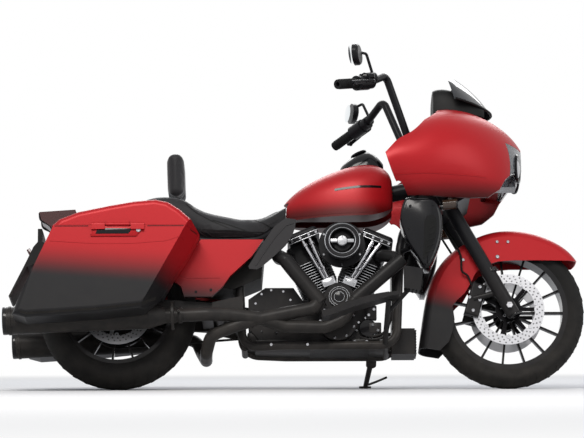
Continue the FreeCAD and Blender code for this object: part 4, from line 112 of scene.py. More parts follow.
def add_mix(tree, share, first, second):
    """The colour between two colours at a share."""
    return add_node(tree, "ShaderNodeMix", data_type="RGBA", i0=share, i6=first, i7=second).outputs[2]


# Camera, light and floor


def add_camera():
    """A long lens at saddlebag height on the bike's right."""
    scene = bpy.context.scene
    data = bpy.data.cameras.new("camera")
    camera = bpy.data.objects.new("camera", data)
    scene.collection.objects.link(camera)
    focal_px, width_px, middle_px, horizon_px = 3126.5, 584, 219, 350.6
    distance, height, roll = 13.0, 0.162, math.radians(0.177)
    ground = BIKE @ Vector((725.7, 0, 0))
    data.sensor_width = 36.0
    data.lens = focal_px / width_px * data.sensor_width
    data.shift_y = (horizon_px - middle_px) / width_px
    camera.location = (ground.x, ground.y - distance, height)
    camera.rotation_euler = (math.pi / 2, roll, 0)
    data.dof.use_dof = False
    data.clip_start, data.clip_end = 0.5, 200
    scene.camera = camera


def add_area(name, place, aim, size, power, colour=(1, 1, 1)):
    """A rectangular lamp aimed at a point."""
    data = bpy.data.lights.new(name, "AREA")
    data.shape, data.size, data.size_y = "RECTANGLE", size[0], size[1]
    data.energy, data.color = power, colour
    lamp = bpy.data.objects.new(name, data)
    lamp.location = place
    lamp.rotation_euler = (Vector(aim) - Vector(place)).to_track_quat("-Z", "Y").to_euler()
    bpy.context.scene.collection.objects.link(lamp)


def add_lights():
    """Key, fill and rim lamps."""
    add_area("key", (-1.2, -4.5, 5.2), (0, 0, 0.6), (3.6, 2.2), 400, (1.0, 0.97, 0.93))
    add_area("fill", (4.0, -3.0, 2.2), (0.3, 0, 0.6), (3.0, 3.0), 80)
    add_area("rim", (0.5, 4.5, 4.0), (0, 0, 0.7), (5.0, 2.0), 160)


def add_world():
    """A pale sky that lights softly and shows white to the camera and in mirrors and glass."""
    world = bpy.data.worlds.new("sky")
    bpy.context.scene.world = world
    world.use_nodes = True
    tree = world.node_tree
    tree.nodes.clear()
    soft = add_node(tree, "ShaderNodeBackground", Color=(0.82, 0.88, 1.0, 1), Strength=0.5)
    white = add_node(tree, "ShaderNodeBackground", Color=(1, 1, 1, 1), Strength=1.0)
    path = tree.nodes.new("ShaderNodeLightPath").outputs
    seen = add_math(tree, "MAXIMUM", path["Is Camera Ray"], path["Is Glossy Ray"])
    seen = add_math(tree, "MAXIMUM", seen, path["Is Transmission Ray"])
    mix = add_node(tree, "ShaderNodeMixShader", i0=seen, i1=soft.outputs[0], i2=white.outputs[0])
    add_node(tree, "ShaderNodeOutputWorld", i0=mix.outputs[0])


def add_floor():
    """A pale floor that keeps the shadow and turns white far away."""
    half_width, near, far = 60, 2.2, 9.0
    bm = bmesh.new()
    bmesh.ops.create_grid(bm, x_segments=1, y_segments=1, size=half_width)
    mesh = bpy.data.meshes.new("floor")
    bm.to_mesh(mesh)
    bm.free()
    floor = bpy.data.objects.new("floor", mesh)
    bpy.context.scene.collection.objects.link(floor)
    material = bpy.data.materials.new("pale_floor")
    material.use_nodes = True
    tree = material.node_tree
    shader = tree.nodes["Principled BSDF"]
    shader.inputs["Base Color"].default_value = (0.62, 0.62, 0.62, 1)
    shader.inputs["Roughness"].default_value = 0.9
    shader.inputs["Specular IOR Level"].default_value = 0.1
    place = tree.nodes.new("ShaderNodeTexCoord").outputs["Object"]
    away = add_node(tree, "ShaderNodeVectorMath", operation="LENGTH", i0=place)
    reach = add_node(tree, "ShaderNodeMapRange", interpolation_type="SMOOTHSTEP", Value=away.outputs["Value"],
                     From_Min=near, From_Max=far)
    glow = tree.nodes.new("ShaderNodeEmission")
    mix = add_node(tree, "ShaderNodeMixShader", i0=reach.outputs[0], i1=shader.outputs[0], i2=glow.outputs[0])
    tree.links.new(mix.outputs[0], tree.nodes["Material Output"].inputs[0])
    mesh.materials.append(material)


# Finishes


def new_group(name, inputs, outputs):
    """A node group: inputs by name with defaults, None for a place, and outputs by name with their kinds."""
    tree = bpy.data.node_groups.new(name, "ShaderNodeTree")
    for label, value in inputs.items():
        kind = "Float" if isinstance(value, float) else "Color" if value and len(value) == 4 else "Vector"
        socket = tree.interface.new_socket(name=label, in_out="INPUT", socket_type="NodeSocket" + kind)
        if value is not None:
            socket.default_value = value
    for label, kind in outputs.items():
        tree.interface.new_socket(name=label, in_out="OUTPUT", socket_type="NodeSocket" + kind)
    return tree, tree.nodes.new("NodeGroupInput").outputs


def grain_group():
    """Fine surface grain: a bumped normal and a little change of roughness."""
    tree, given = new_group("surface_grain", {
        "Vector": None, "Scale": 400.0, "Height": 0.1, "Roughness": 0.4, "Spread": 0.1,
    }, {"Normal": "Vector", "Roughness": "Float"})
    noise = add_node(tree, "ShaderNodeTexNoise", Vector=given["Vector"], Scale=given["Scale"], Detail=3.0)
    bump = add_node(tree, "ShaderNodeBump", Strength=given["Height"], Distance=0.0006,
                    Height=noise.outputs["Fac"])
    cloud = add_node(tree, "ShaderNodeTexNoise", Vector=given["Vector"], Scale=9.0, Detail=4.0)
    centred = add_math(tree, "SUBTRACT", cloud.outputs["Fac"], 0.5)
    rough = add_math(tree, "MULTIPLY_ADD", centred, given["Spread"], given["Roughness"])
    add_node(tree, "NodeGroupOutput", Normal=bump.outputs["Normal"], Roughness=rough)
    return tree


def dust_group():
    """Road dust that thickens towards the ground, blotched by noise."""
    tree, given = new_group("road_dust", {
        "Vector": None, "Color": (0.1, 0.1, 0.1, 1), "Dust": (0.22, 0.19, 0.16, 1), "Amount": 0.15,
        "Top": 0.6,
    }, {"Color": "Color"})
    height = add_node(tree, "ShaderNodeSeparateXYZ", i0=given["Vector"]).outputs["Z"]
    low = add_math(tree, "SUBTRACT", 1.0, add_math(tree, "DIVIDE", height, given["Top"]), clamp=True)
    noise = add_node(tree, "ShaderNodeTexNoise", Vector=given["Vector"], Scale=22.0, Detail=6.0)
    spot = add_math(tree, "MULTIPLY", low, noise.outputs["Fac"], clamp=True)
    amount = add_math(tree, "MULTIPLY", spot, given["Amount"], clamp=True)
    add_node(tree, "NodeGroupOutput", Color=add_mix(tree, amount, given["Color"], given["Dust"]))
    return tree


def fade_group():
    """One colour passing softly into another along a direction."""
    tree, given = new_group("colour_fade", {
        "Vector": None, "Above": (0.4, 0.03, 0.03, 1), "Below": (0.01, 0.01, 0.01, 1), "Direction": (0, 0, 1),
        "Start": 0.3, "Width": 0.1,
    }, {"Color": "Color"})
    along = add_node(tree, "ShaderNodeVectorMath", operation="DOT_PRODUCT", i0=given["Vector"],
                     i1=given["Direction"])
    past = add_math(tree, "SUBTRACT", along.outputs["Value"], given["Start"])
    step = add_node(tree, "ShaderNodeMapRange", interpolation_type="SMOOTHSTEP",
                    Value=add_math(tree, "DIVIDE", past, given["Width"]))
    add_node(tree, "NodeGroupOutput", Color=add_mix(tree, step.outputs[0], given["Below"], given["Above"]))
    return tree


GROUPS = {"grain": grain_group(), "dust": dust_group(), "fade": fade_group()}


def place_group(tree, name, vector, **given):
    """One of the groups in a tree, at a place."""
    return add_node(tree, "ShaderNodeGroup", node_tree=GROUPS[name], Vector=vector, **given)


def finish(name, colour, rough, grain, height, spread=0.1, dust=0.15, metal=0.0, coat=0.0, coat_rough=0.1,
           spec=0.1, sheen=0.0, clear=0.0):
    """A grained, dusty finish; its colour is a value or a function of the shader tree and the place."""
    material = bpy.data.materials.new(name)
    material.use_nodes = True
    tree = material.node_tree
    shader = tree.nodes["Principled BSDF"].inputs
    place = tree.nodes.new("ShaderNodeTexCoord").outputs["Object"]
    tint = colour(tree, place) if callable(colour) else (*colour, 1)
    grains = place_group(tree, "grain", place, Scale=grain, Height=height, Roughness=rough, Spread=spread)
    dusty = place_group(tree, "dust", place, Color=tint, Amount=dust)
    tree.links.new(grains.outputs["Normal"], shader["Normal"])
    tree.links.new(grains.outputs["Roughness"], shader["Roughness"])
    tree.links.new(dusty.outputs["Color"], shader["Base Color"])
    values = {"Metallic": metal, "Coat Weight": coat, "Coat Roughness": coat_rough, "Sheen Weight": sheen,
              "Specular IOR Level": spec, "Transmission Weight": clear}
    for label, value in values.items():
        shader[label].default_value = value
    return material


RED = (0.3, 0.006, 0.009)
SMOKE = (0.006, 0.006, 0.007)
STEEL = (0.5, 0.5, 0.52)
DISC_CARRIER_REACH = 0.1352


def satin_red(name, colour, spread=0.06, dust=0.06, coat=0.12):
    """The body's metallic paint."""
    return finish(name, colour, 0.42, 2600.0, 0.03, spread, dust, 0.2, coat, coat_rough=0.3, spec=0.14)


def fade_and_painted_shade(below, tilt, start, width):
    """Red that darkens below a point, along a way tilted from the bike's own upright. It gives the bags and front
    fender their black fade paint, the fairing a darker red low down, and the tank painted shade on its lower part.
    """
    way = (BIKE.to_3x3() @ Vector((tilt, 0, 1))).normalized()
    given = {"Above": (*RED, 1), "Below": (*below, 1), "Direction": way, "Width": width,
             "Start": (BIKE @ Vector(start)).dot(way)}
    return lambda tree, place: place_group(tree, "fade", place, **given).outputs["Color"]


def disc_colour(tree, place):
    """Turned steel beyond a distance from the front axle, and a black carrier inside it."""
    away = add_node(tree, "ShaderNodeVectorMath", operation="DISTANCE", i0=place, i1=BIKE @ FRONT_AXLE)
    band = add_math(tree, "GREATER_THAN", away.outputs["Value"], DISC_CARRIER_REACH)
    return add_mix(tree, band, (*SMOKE, 1), (*STEEL, 1))


def glassy(name, colour, rough, clear, metal=0.0):
    """A plain clear or tinted lens, screen or mirror glass."""
    return finish(name, colour, rough, 700.0, 0.01, 0.04, 0.04, metal, spec=0.5, clear=clear)


MATERIALS = {
    "red_paint": satin_red("candy_red", RED, 0.05, 0.05, 0.08),
    # The tank's red turns dark below its lower seam: painted shade under the tank's curve.
    "tank_paint": satin_red("tank_red_painted_shade", fade_and_painted_shade((0.06, 0.002, 0.002), 0, (900, -100, 718), 0.07)),
    "bag_paint": satin_red("bag_red", fade_and_painted_shade(SMOKE, 0.08, (0, -440, 355), 0.16)),
    "fender_paint": satin_red("fender_red", fade_and_painted_shade(SMOKE, 0.25, (1300, -60, 330), 0.13)),
    "fairing_paint": satin_red("fairing_red", fade_and_painted_shade((0.05, 0.004, 0.004), -0.1, (1400, -300, 740), 0.09)),
    "gloss_black": finish("gloss_black", (0.004, 0.004, 0.005), 0.16, 900.0, 0.02, 0.05, 0.05, coat=0.25),
    "frame_black": finish("powder_coat", (0.007, 0.007, 0.008), 0.35, 1800.0, 0.12, dust=0.3),
    "black_metal": finish("satin_black_metal", (0.008, 0.008, 0.009), 0.32, 1500.0, 0.08),
    "engine_black": finish("wrinkle_black", (0.007, 0.007, 0.008), 0.42, 1100.0, 0.35),
    "belt_rubber": finish("belt_rubber", (0.006, 0.006, 0.006), 0.8, 700.0, 0.3, dust=0.12),
    "chrome": finish("chrome", (0.42, 0.42, 0.44), 0.16, 300.0, 0.02, 0.05, 0.03, 1.0),
    "bright": finish("machined_aluminium", (0.34, 0.345, 0.36), 0.3, 2200.0, 0.1, dust=0.03, metal=1.0),
    "exhaust_black": finish("heatproof_black", (0.009, 0.009, 0.0095), 0.38, 1300.0, 0.12, 0.14, 0.25),
    "grey_plastic": finish("grey_plastic", (0.022, 0.021, 0.022), 0.45, 1400.0, 0.15),
    "black_plastic": finish("black_plastic", (0.006, 0.006, 0.006), 0.5, 1700.0, 0.25, dust=0.2),
    "seat_cover": finish("seat_vinyl", (0.012, 0.012, 0.013), 0.5, 850.0, 0.5, dust=0.12, sheen=0.25),
    "grip_rubber": finish("grip_rubber", (0.007, 0.007, 0.007), 0.7, 1200.0, 0.4),
    "tyre": finish("tyre_rubber", (0.008, 0.008, 0.008), 0.8, 900.0, 0.3, dust=0.12),
    "wheel_black": finish("wheel_black", SMOKE, 0.22, 1600.0, 0.04, dust=0.12, coat=0.2),
    "steel": finish("turned_steel", STEEL, 0.32, 1500.0, 0.15, dust=0.04, metal=1.0),
    "front_disc_steel": finish("front_disc_steel", disc_colour, 0.32, 1500.0, 0.15, dust=0.04, metal=1.0),
    # The tailpipe's rough black; the same material is painted shade on the lower fairing's vent mouths.
    "tailpipe": finish("sooty_bore_and_vent_shade", (0.008, 0.008, 0.008), 0.8, 1400.0, 0.3),
    "lens_clear": glassy("clear_lens", (0.25, 0.26, 0.28), 0.03, 0.75),
    "smoked_screen": glassy("smoked_screen", (0.012, 0.014, 0.018), 0.06, 0.35),
    "lens_red": glassy("dark_red_lens", (0.035, 0.003, 0.003), 0.16, 0.1),
    "lens_smoke": glassy("smoked_lens", (0.035, 0.02, 0.012), 0.12, 0.25),
    "mirror_glass": glassy("mirror_glass", (0.8, 0.84, 0.86), 0.02, 0.0, 1.0),
}
OWN_FINISH = {
    "front_discs": "front_disc_steel", "left_saddlebag": "bag_paint", "right_saddlebag": "bag_paint",
    "side_covers": "bag_paint", "front_fender": "fender_paint", "fairing": "fairing_paint",
    "fuel_tank": "tank_paint",
}


def dress_nodes():
    """Gives each CAD node its finish."""
    for name, node in nodes.items():
        node.data.materials.clear()
        node.data.materials.append(MATERIALS[OWN_FINISH.get(name, slots[name])])


# Building pieces


def new_meshes(count):
    return [bmesh.new() for _ in range(count)]


def piece(name, bm, slot, material=None, body="chassis", replaces=None, angle=35):
    """A bike-millimetre mesh made into a piece of the scene, in the row frame."""
    bmesh.ops.remove_doubles(bm, verts=bm.verts, dist=TINY)
    bmesh.ops.recalc_face_normals(bm, faces=bm.faces)
    bmesh.ops.transform(bm, matrix=BIKE, verts=bm.verts)
    mesh = bpy.data.meshes.new(name)
    bm.to_mesh(mesh)
    bm.free()
    for face in mesh.polygons:
        face.use_smooth = True
    mesh.set_sharp_from_angle(angle=math.radians(angle))
    mesh.materials.append(MATERIALS[material or slot])
    obj = bpy.data.objects.new(name, mesh)
    bpy.context.scene.collection.objects.link(obj)
    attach(obj, body)
    if replaces:
        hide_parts(replaces)


def lathe(bm, centre, direction, profile, steps=32):
    """A closed (radius, height) profile spun round a direction through a centre."""
    rows = [bm.verts.new((radius, 0, height)) for radius, height in profile]
    edges = [bm.edges.new((a, b)) for a, b in zip(rows, rows[1:] + rows[:1])]
    bmesh.ops.spin(bm, geom=rows + edges, cent=(0, 0, 0), axis=(0, 0, 1), angle=2 * math.pi, steps=steps,
                   use_merge=True)
    made = set(rows)
    frontier = made
    while frontier:
        frontier = {o for v in frontier for e in v.link_edges for o in e.verts} - made
        made |= frontier
    turn = Vector(direction).to_track_quat("Z", "Y").to_matrix().to_4x4()
    bmesh.ops.transform(bm, matrix=Matrix.Translation(centre) @ turn, verts=list(made))


def ring(bm, centre, direction, outer, inner, height, bevel, steps):
    """A flat ring with eased edges, starting at its centre point."""
    lathe(bm, centre, direction, [(inner, 0), (outer - bevel, 0), (outer, bevel), (outer, height - bevel),
                                  (outer - bevel, height), (inner, height)], steps)


def bolt(bm, centre, direction, radius, height, sides=12):
    """A cap screw with a sunk socket, or a hex head with 6 sides, standing on a point."""
    shares = [(0.96, 0), (1, 0.15), (1, 0.75), (0.85, 1), (0.5, 1), (0.42, 0.6)]
    profile = [(radius * wide, height * high) for wide, high in shares]
    lathe(bm, centre, direction, profile + [(TINY, height * 0.6), (TINY, 0)], sides)


def ease(bm, verts, offset, segments=2):
    """Rounds the edges at some vertices."""
    edges = list(dict.fromkeys(e for v in verts for e in v.link_edges))
    bmesh.ops.bevel(bm, geom=edges, offset=offset, segments=segments, profile=0.5, affect="EDGES",
                    material=-1)


def slab(bm, outline, side, inner, outer, bevel, segments=2):
    """An outline given thickness across the bike, between two distances out on one side, with eased edges."""
    low, high = sorted((side * inner, side * outer))
    bottom = [bm.verts.new((x, low, z)) for x, z in outline]
    result = bmesh.ops.extrude_face_region(bm, geom=[bm.faces.new(bottom)])
    top = [v for v in result["geom"] if isinstance(v, bmesh.types.BMVert)]
    bmesh.ops.translate(bm, vec=(0, high - low, 0), verts=top)
    ease(bm, bottom + top, bevel, segments)


def block(bm, centre, size, bevel=2.0, turn=0.0):
    """An eased block about a centre, turned about the bike's Y."""
    start = set(bm.verts)
    bmesh.ops.create_cube(bm, size=1.0)
    made = [v for v in bm.verts if v not in start]
    bmesh.ops.scale(bm, vec=size, verts=made)
    ease(bm, made, bevel)
    made = [v for v in bm.verts if v not in start]
    place = Matrix.Translation(centre) @ Matrix.Rotation(turn, 4, "Y")
    bmesh.ops.transform(bm, matrix=place, verts=made)


def curve_between(a, b, c, d, steps):
    """Catmull-Rom points from b up to, and without, c."""
    for n in range(steps):
        t = n / steps
        yield 0.5 * (2 * b + (c - a) * t + (2 * a - 5 * b + 4 * c - d) * t * t
                     + (3 * b - a - 3 * c + d) * t ** 3)


def smooth_line(points, steps=6):
    """A smooth open line through points."""
    rows = [Vector(p) for p in points]
    rows = [rows[0] * 2 - rows[1], *rows, rows[-1] * 2 - rows[-2]]
    spans = zip(rows, rows[1:], rows[2:], rows[3:])
    return [point for span in spans for point in curve_between(*span, steps)] + [rows[-2]]


def smooth_outline(points, steps=5):
    """A smooth closed outline through (x, z) points."""
    rows = [Vector(p) for p in points]
    spans = zip(rows[-1:] + rows[:-1], rows, rows[1:] + rows[:1], rows[2:] + rows[:2])
    return [tuple(point) for span in spans for point in curve_between(*span, steps)]


def skin(bm, rows):
    """Faces between rows of points that run round a bar, and on its two ends."""
    for low, high in zip(rows, rows[1:]):
        for n in range(len(low)):
            bm.faces.new((low[n - 1], low[n], high[n], high[n - 1]))
    if len(rows) > 1:
        bm.faces.new(rows[0][::-1])
        bm.faces.new(rows[-1])


def tube(bm, points, radius, sides=8, steps=6, section=None):
    """A round or shaped bar following a smoothed line; section is (across, up) shares round it."""
    line = smooth_line(points, steps) if steps else [Vector(p) for p in points]
    turns = [2 * math.pi * n / sides for n in range(sides)]
    shape = section or [(math.cos(turn), math.sin(turn)) for turn in turns]
    rows, across, lined_up = [], Vector((0, 1, 0)), 0.98
    for n, point in enumerate(line):
        ahead = (line[min(n + 1, len(line) - 1)] - line[max(n - 1, 0)]).normalized()
        turned_out = abs(across.dot(ahead)) < lined_up
        across = (across - ahead * across.dot(ahead)).normalized() if turned_out else ahead.orthogonal()
        up = ahead.cross(across).normalized()
        rows.append([bm.verts.new(point + across * (a * radius) + up * (b * radius)) for a, b in shape])
    skin(bm, rows)


def about(centre, radius, degrees, y):
    """A point on a circle round a place, seen from the bike's right."""
    angle = math.radians(degrees)
    return Vector((centre[0] + radius * math.cos(angle), y, centre[-1] + radius * math.sin(angle)))


def probe_of(node):
    """The surface of a node, or of a piece, in bike millimetres, ready to be probed."""
    bm = bmesh.new()
    bm.from_mesh(nodes[node].data if isinstance(node, str) else node.data)
    bmesh.ops.transform(bm, matrix=BIKE.inverted(), verts=bm.verts)
    tree = BVHTree.FromBMesh(bm)
    bm.free()
    return tree


def outside(tree, x, z, side):
    """How far across the bike a surface reaches at (x, z), on one side; None where there is none."""
    hit = tree.ray_cast(Vector((x, side * 900.0, z)), Vector((0, -side, 0)))[0]
    return hit.y if hit else None


def bolt_on(bm, tree, x, z, side, radius, height, least=0):
    """A bolt standing on a surface that reaches at least so far out at (x, z)."""
    y = outside(tree, x, z, side)
    if y is not None and side * y > least:
        bolt(bm, (x, y, z), (0, side, 0), radius, height)


def draped(bm, tree, points, side, width, thick, steps=8):
    """A thin raised band along an outline that lies on a surface, left out where there is no surface."""
    lift, sunk, edge = 0.2, -1.5, 0.8
    line = [Vector(a).lerp(Vector(b), n / steps) for a, b in zip(points, points[1:]) for n in range(steps)]
    line.append(Vector(points[-1]))
    rows = []
    for n, point in enumerate(line):
        ahead = (line[min(n + 1, len(line) - 1)] - line[max(n - 1, 0)]).normalized()
        out = Vector((-ahead.y, ahead.x)) * width / 2
        row = []
        for share, rise in ((-1, sunk), (-edge, thick), (edge, thick), (1, sunk)):
            x, z = point + out * share
            y = outside(tree, x, z, side)
            if y is None:
                break
            row.append(bm.verts.new((x, y + side * (lift + rise), z)))
        else:
            rows.append(row)
    skin(bm, rows)


# Wheels and brakes


def add_tyre(name, body, node, axle, radius, width, rim, grooves):
    """A road tyre with a rounded crown, ribbed walls and slanted tread grooves."""
    half = width / 2
    crown, power, tread_share, proud = half * 0.42, 2.2, 0.93, 0.35
    across = [-1.0, -0.85, -0.68, -0.5, -0.3, -0.1, 0.1, 0.3, 0.5, 0.68, 0.85, 1.0]
    tread = [(radius - crown * abs(t) ** power, t * half * tread_share) for t in across]
    bead = ((34, 0.99), (31, 0.985), (20, 0.93), (8, 0.86), (3, 0.8))
    wall = [(radius - half * 0.55, half)] + [(rim + up, half * share) for up, share in bead]
    inner = [(rim + 2, half * 0.7), (rim + 2, -half * 0.7)]
    bm, marks = new_meshes(2)
    lathe(bm, axle, (0, 1, 0), tread + wall + inner + [(r, -h) for r, h in reversed(wall)], 96)
    piece(name, bm, "tyre", body=body, replaces=node, angle=50)
    # The tread grooves are raised strips of a slightly darker rubber: painted shade where the grooves are cut in.
    pitch = 360.0 / grooves
    for n in range(grooves):
        for side in (-1, 1):
            turn = pitch * n + (pitch / 2 if side > 0 else 0)
            tube(marks, [about(axle, radius - crown * share ** power + proud, turn + shift,
                               side * share * half * tread_share)
                         for share, shift in ((0.12, 0.0), (0.45, 3.0), (0.82, 4.5))], 1.6, sides=4, steps=2)
    piece(name + "_grooves", marks, "tyre", "belt_rubber", body=body)


def add_disc_detail(name, body, axle, y, outer, inner, side):
    """Drillings, buttons round the carrier and hub bolts on one face of a brake disc."""
    buttons_count, rows, hub_radius, way = 7, 5, 30, (0, side, 0)
    holes, buttons, hub = new_meshes(3)
    face = y + side * 2.6
    pitch = 360.0 / (buttons_count * rows)
    for n in range(buttons_count * rows):
        for share, shift in ((0.2, 0.0), (0.5, 4.0), (0.8, 8.0)):
            place = about(axle, inner + (outer - inner) * share, n * pitch + shift, face)
            ring(holes, place, way, 3.4, 1.4, 0.25, 0.1, 8)
    for n in range(buttons_count):
        place = about(axle, inner + 3, n * 360.0 / buttons_count + 12, face - side)
        ring(buttons, place, way, 9.0, 3.0, 3.4, 0.8, 14)
    for n in range(5):
        bolt(hub, about(axle, hub_radius, n * 72.0 + 20, face), way, 7.0, 5.0)
    piece(name + "_drillings", holes, "steel", "gloss_black", body=body)
    piece(name + "_buttons", buttons, "steel", body=body)
    piece(name + "_bolts", hub, "chrome", body=body)


def add_wheels():
    """Tyres, disc details, bright rim edges and the front axle's nuts."""
    front, rear = "front_wheel_set", "rear_wheel_set"
    add_tyre("front_road_tyre", front, "front_tyre", FRONT_AXLE, 319.2, 129.0, 241.5, 40)
    add_tyre("rear_road_tyre", rear, "rear_tyre", REAR_AXLE, 327.4, 179.0, 229.0, 36)
    for side, label in SIDES:
        add_disc_detail(f"front_disc_{label}", front, FRONT_AXLE, side * 78, 149, 113, side)
    add_disc_detail("rear_disc_side", rear, REAR_AXLE, -68.5, 142, 106, -1)
    for body, axle, bead, half in ((front, FRONT_AXLE, 241.5, 47), (rear, REAR_AXLE, 229, 63)):
        for side, label in SIDES:
            bm = bmesh.new()
            lathe(bm, axle + Vector((0, side * half, 0)), (0, side, 0), [
                (bead - 5, -2.0), (bead - 1.5, -1.0), (bead - 1.2, 1.2), (bead - 3.2, 1.8),
                (bead - 6.0, 0.6)], 72)
            piece(f"{body}_rim_edge_{label}", bm, "wheel_black", "bright", body=body)
    nuts, legs = bmesh.new(), probe_of("fork_legs")
    for side, _ in SIDES:
        y = outside(legs, FRONT_AXLE.x, FRONT_AXLE.z, side)
        bolt(nuts, (FRONT_AXLE.x, y, FRONT_AXLE.z), (0, side, 0), 14, 7, sides=6)
    piece("front_axle_nuts", nuts, "black_metal", "steel", body="steering")


# Engine trim


def bank_matrix(bank):
    """From a cylinder's own axes, with Z up its bore: bank -1 leans back, 1 forward."""
    return Matrix.Translation(CRANK) @ Matrix.Rotation(BANK_ANGLE * bank, 4, "Y")


def rounded_square(half, corner, steps=4):
    """Corner points of a rounded square about zero."""
    points = []
    for quarter in range(4):
        cx = (half - corner) * (1 if quarter in (0, 3) else -1)
        cy = (half - corner) * (1 if quarter in (0, 1) else -1)
        for n in range(steps + 1):
            angle = (quarter + n / steps) * math.pi / 2
            points.append((cx + corner * math.cos(angle), cy + corner * math.sin(angle)))
    return points


def add_fin_edges():
    """Bright machined strips round the edge of each cooling fin, kept apart between the cylinders."""
    half, corner, fins, lowest, pitch, gap = 80.0, 26.7, 13, 155.75, 11.5, 3
    outline = rounded_square(half, corner)
    for bank, label in ((-1, "rear"), (1, "front")):
        bm = bmesh.new()
        for n in range(fins):
            loops = []
            for grow, height in ((-0.8, 0.5), (0.35, 0.7), (0.35, 2.7), (-0.8, 2.9)):
                share, z = 1 + grow / half, lowest + pitch * n + height
                loops.append([bm.verts.new((x * share, y * share, z)) for x, y in outline])
            for low, high in zip(loops, loops[1:]):
                for k in range(len(outline)):
                    bm.faces.new((low[k - 1], low[k], high[k], high[k - 1]))
        bmesh.ops.transform(bm, matrix=bank_matrix(bank), verts=bm.verts)
        bmesh.ops.bisect_plane(bm, geom=bm.verts[:] + bm.edges[:] + bm.faces[:], clear_inner=True,
                               plane_co=(CRANK.x + bank * gap, 0, 0), plane_no=(bank, 0, 0))
        piece(f"{label}_fin_edges", bm, "engine_black", "bright")


def add_head_trim():
    """Bright rocker strips, head bolts and pushrod collars."""
    strips, bolts, collars = new_meshes(3)
    rod_y, foot_out = -112, 6.3
    for bank in (-1, 1):
        place = bank_matrix(bank)
        for z in (387.0, 405.0):
            block(strips, place @ Vector((14, -124.2, z)), (128, 2.4, 3.0), 0.8, BANK_ANGLE * bank)
        for x in (-40, -2, 36, 68):
            bolt(bolts, place @ Vector((x, -124.4, 396)), RIGHT, 6.0, 4.5)
        for x in (-52, 52):
            bolt(bolts, place @ Vector((x, -70, 424)), place.to_3x3() @ Vector((0, 0, 1)), 7.0, 9.0)
        for x, shift in ((2, -foot_out), (34, foot_out)):
            top = place @ Vector((x, rod_y, 380))
            foot = Vector((LIFTER_X[bank] + shift, rod_y, 438))
            for share, radius in ((0.02, 13.0), (0.30, 12.0), (0.9, 12.5)):
                lathe(collars, foot.lerp(top, share), top - foot, [
                    (radius - 2.5, -7), (radius, -5), (radius, 5), (radius - 2.5, 7), (8.6, 7),
                    (8.6, -7)], 16)
    piece("rocker_strips", strips, "engine_black", "bright")
    piece("head_bolts", bolts, "chrome")
    piece("pushrod_collars", collars, "chrome")


GEARBOX_BOLTS = [(560, 300), (575, 345), (600, 385), (640, 402), (690, 396), (720, 360), (735, 300),
                 (560, 250), (600, 226), (660, 220)]


def add_case_trim():
    """Cover bolts, the round side cover's rings and caps, and the lifter block lids."""
    bolts, rings, caps, lids = new_meshes(4)
    for n in range(9):
        bolt(bolts, about(CAM_COVER, 72, 20 + n * 40, -134), RIGHT, 5.5, 4.5)
    case = probe_of("engine_case")
    circle = [about(FRONT_COVER, 46, n * 45 + 10, 0) for n in range(8)]
    for x, z in [(spot.x, spot.z) for spot in circle] + GEARBOX_BOLTS:
        bolt_on(bolts, case, x, z, -1, 5.5, 4.5, least=80)
    piece("case_bolts", bolts, "chrome")
    for radius in (42.0, 34.0, 21.0):
        lathe(rings, ROUND_COVER + RIGHT * 0.5, RIGHT, [
            (radius - 1.6, -1), (radius + 1, -1), (radius + 0.6, 1.4), (radius - 0.6, 1.4)], 48)
    piece("cover_rings", rings, "engine_black", "bright")
    lathe(caps, ROUND_COVER, RIGHT, [(TINY, 0), (20, 0), (19, 3), (10, 5), (TINY, 5.4)], 40)
    lathe(caps, FRONT_COVER, RIGHT, [(TINY, 0), (38, 0), (38, 10), (34, 14), (20, 15), (TINY, 15)], 40)
    piece("cover_caps", caps, "engine_black", "gloss_black")
    for bank, x in LIFTER_X.items():
        block(lids, (x, -129, 428), (46, 3, 26), 1.2, BANK_ANGLE * bank)
        for dx in (-17, 17):
            bolt(lids, (x + dx, -130, 428 - dx * 0.4 * bank), RIGHT, 4.5, 3.5)
    piece("lifter_lids", lids, "chrome", "bright")


def add_air_cleaner():
    """Pleated element, rim, bright lines and cross bar of the round air cleaner."""
    x, z = CLEANER
    pleats, rim, line, bar, screws = new_meshes(5)
    count, inner, outer = 56, 40.0, 48.5
    rows = [[pleats.verts.new(about(CLEANER, outer if n % 2 else inner, 180.0 * n / count, y))
             for y in (-228.0, -243.0)] for n in range(count * 2)]
    for n in range(len(rows)):
        pleats.faces.new((rows[n - 1][0], rows[n][0], rows[n][1], rows[n - 1][1]))
    piece("air_filter_pleats", pleats, "engine_black", "grey_plastic", angle=20)
    lathe(rim, (x, -246, z), RIGHT, [(52, -1), (73, -1), (73.5, 1), (71, 3), (66, 3.6), (60, 2.4), (54, 3),
                                     (52, 1)], 64)
    piece("air_cleaner_rim", rim, "engine_black", "black_metal")
    for radius in (72.0, 54.5):
        lathe(line, (x, -249, z), RIGHT, [
            (radius - 1.2, 0), (radius, 0.6), (radius + 1.0, 0), (radius, -1)], 64)
    piece("air_cleaner_lines", line, "engine_black", "bright")
    block(bar, (x, -241, z), (96, 6, 15), 1.8)
    lathe(bar, (x, -244, z), RIGHT, [(TINY, -2), (20, -2), (22, 1), (19, 4), (TINY, 5)], 32)
    for n in range(3):
        bolt(bar, about(CLEANER, 12, 90 + n * 120, -248.5), RIGHT, 3.6, 2.4)
    piece("air_cleaner_bar", bar, "engine_black", "bright")
    for n in range(6):
        bolt(screws, about(BACKPLATE, 86, 30 + 60 * n, -150), RIGHT, 5.0, 4.0)
    piece("backplate_screws", screws, "chrome")


# Exhaust


def clamp_band(bm, centre, way, radius, wide):
    """A pipe clamp's band."""
    half, proud = wide / 2, radius + 2.6
    lathe(bm, centre, way, [(radius, -half), (proud, 1 - half), (proud, half - 1), (radius, half),
                            (radius - 1.5, half), (radius - 1.5, -half)], 36)


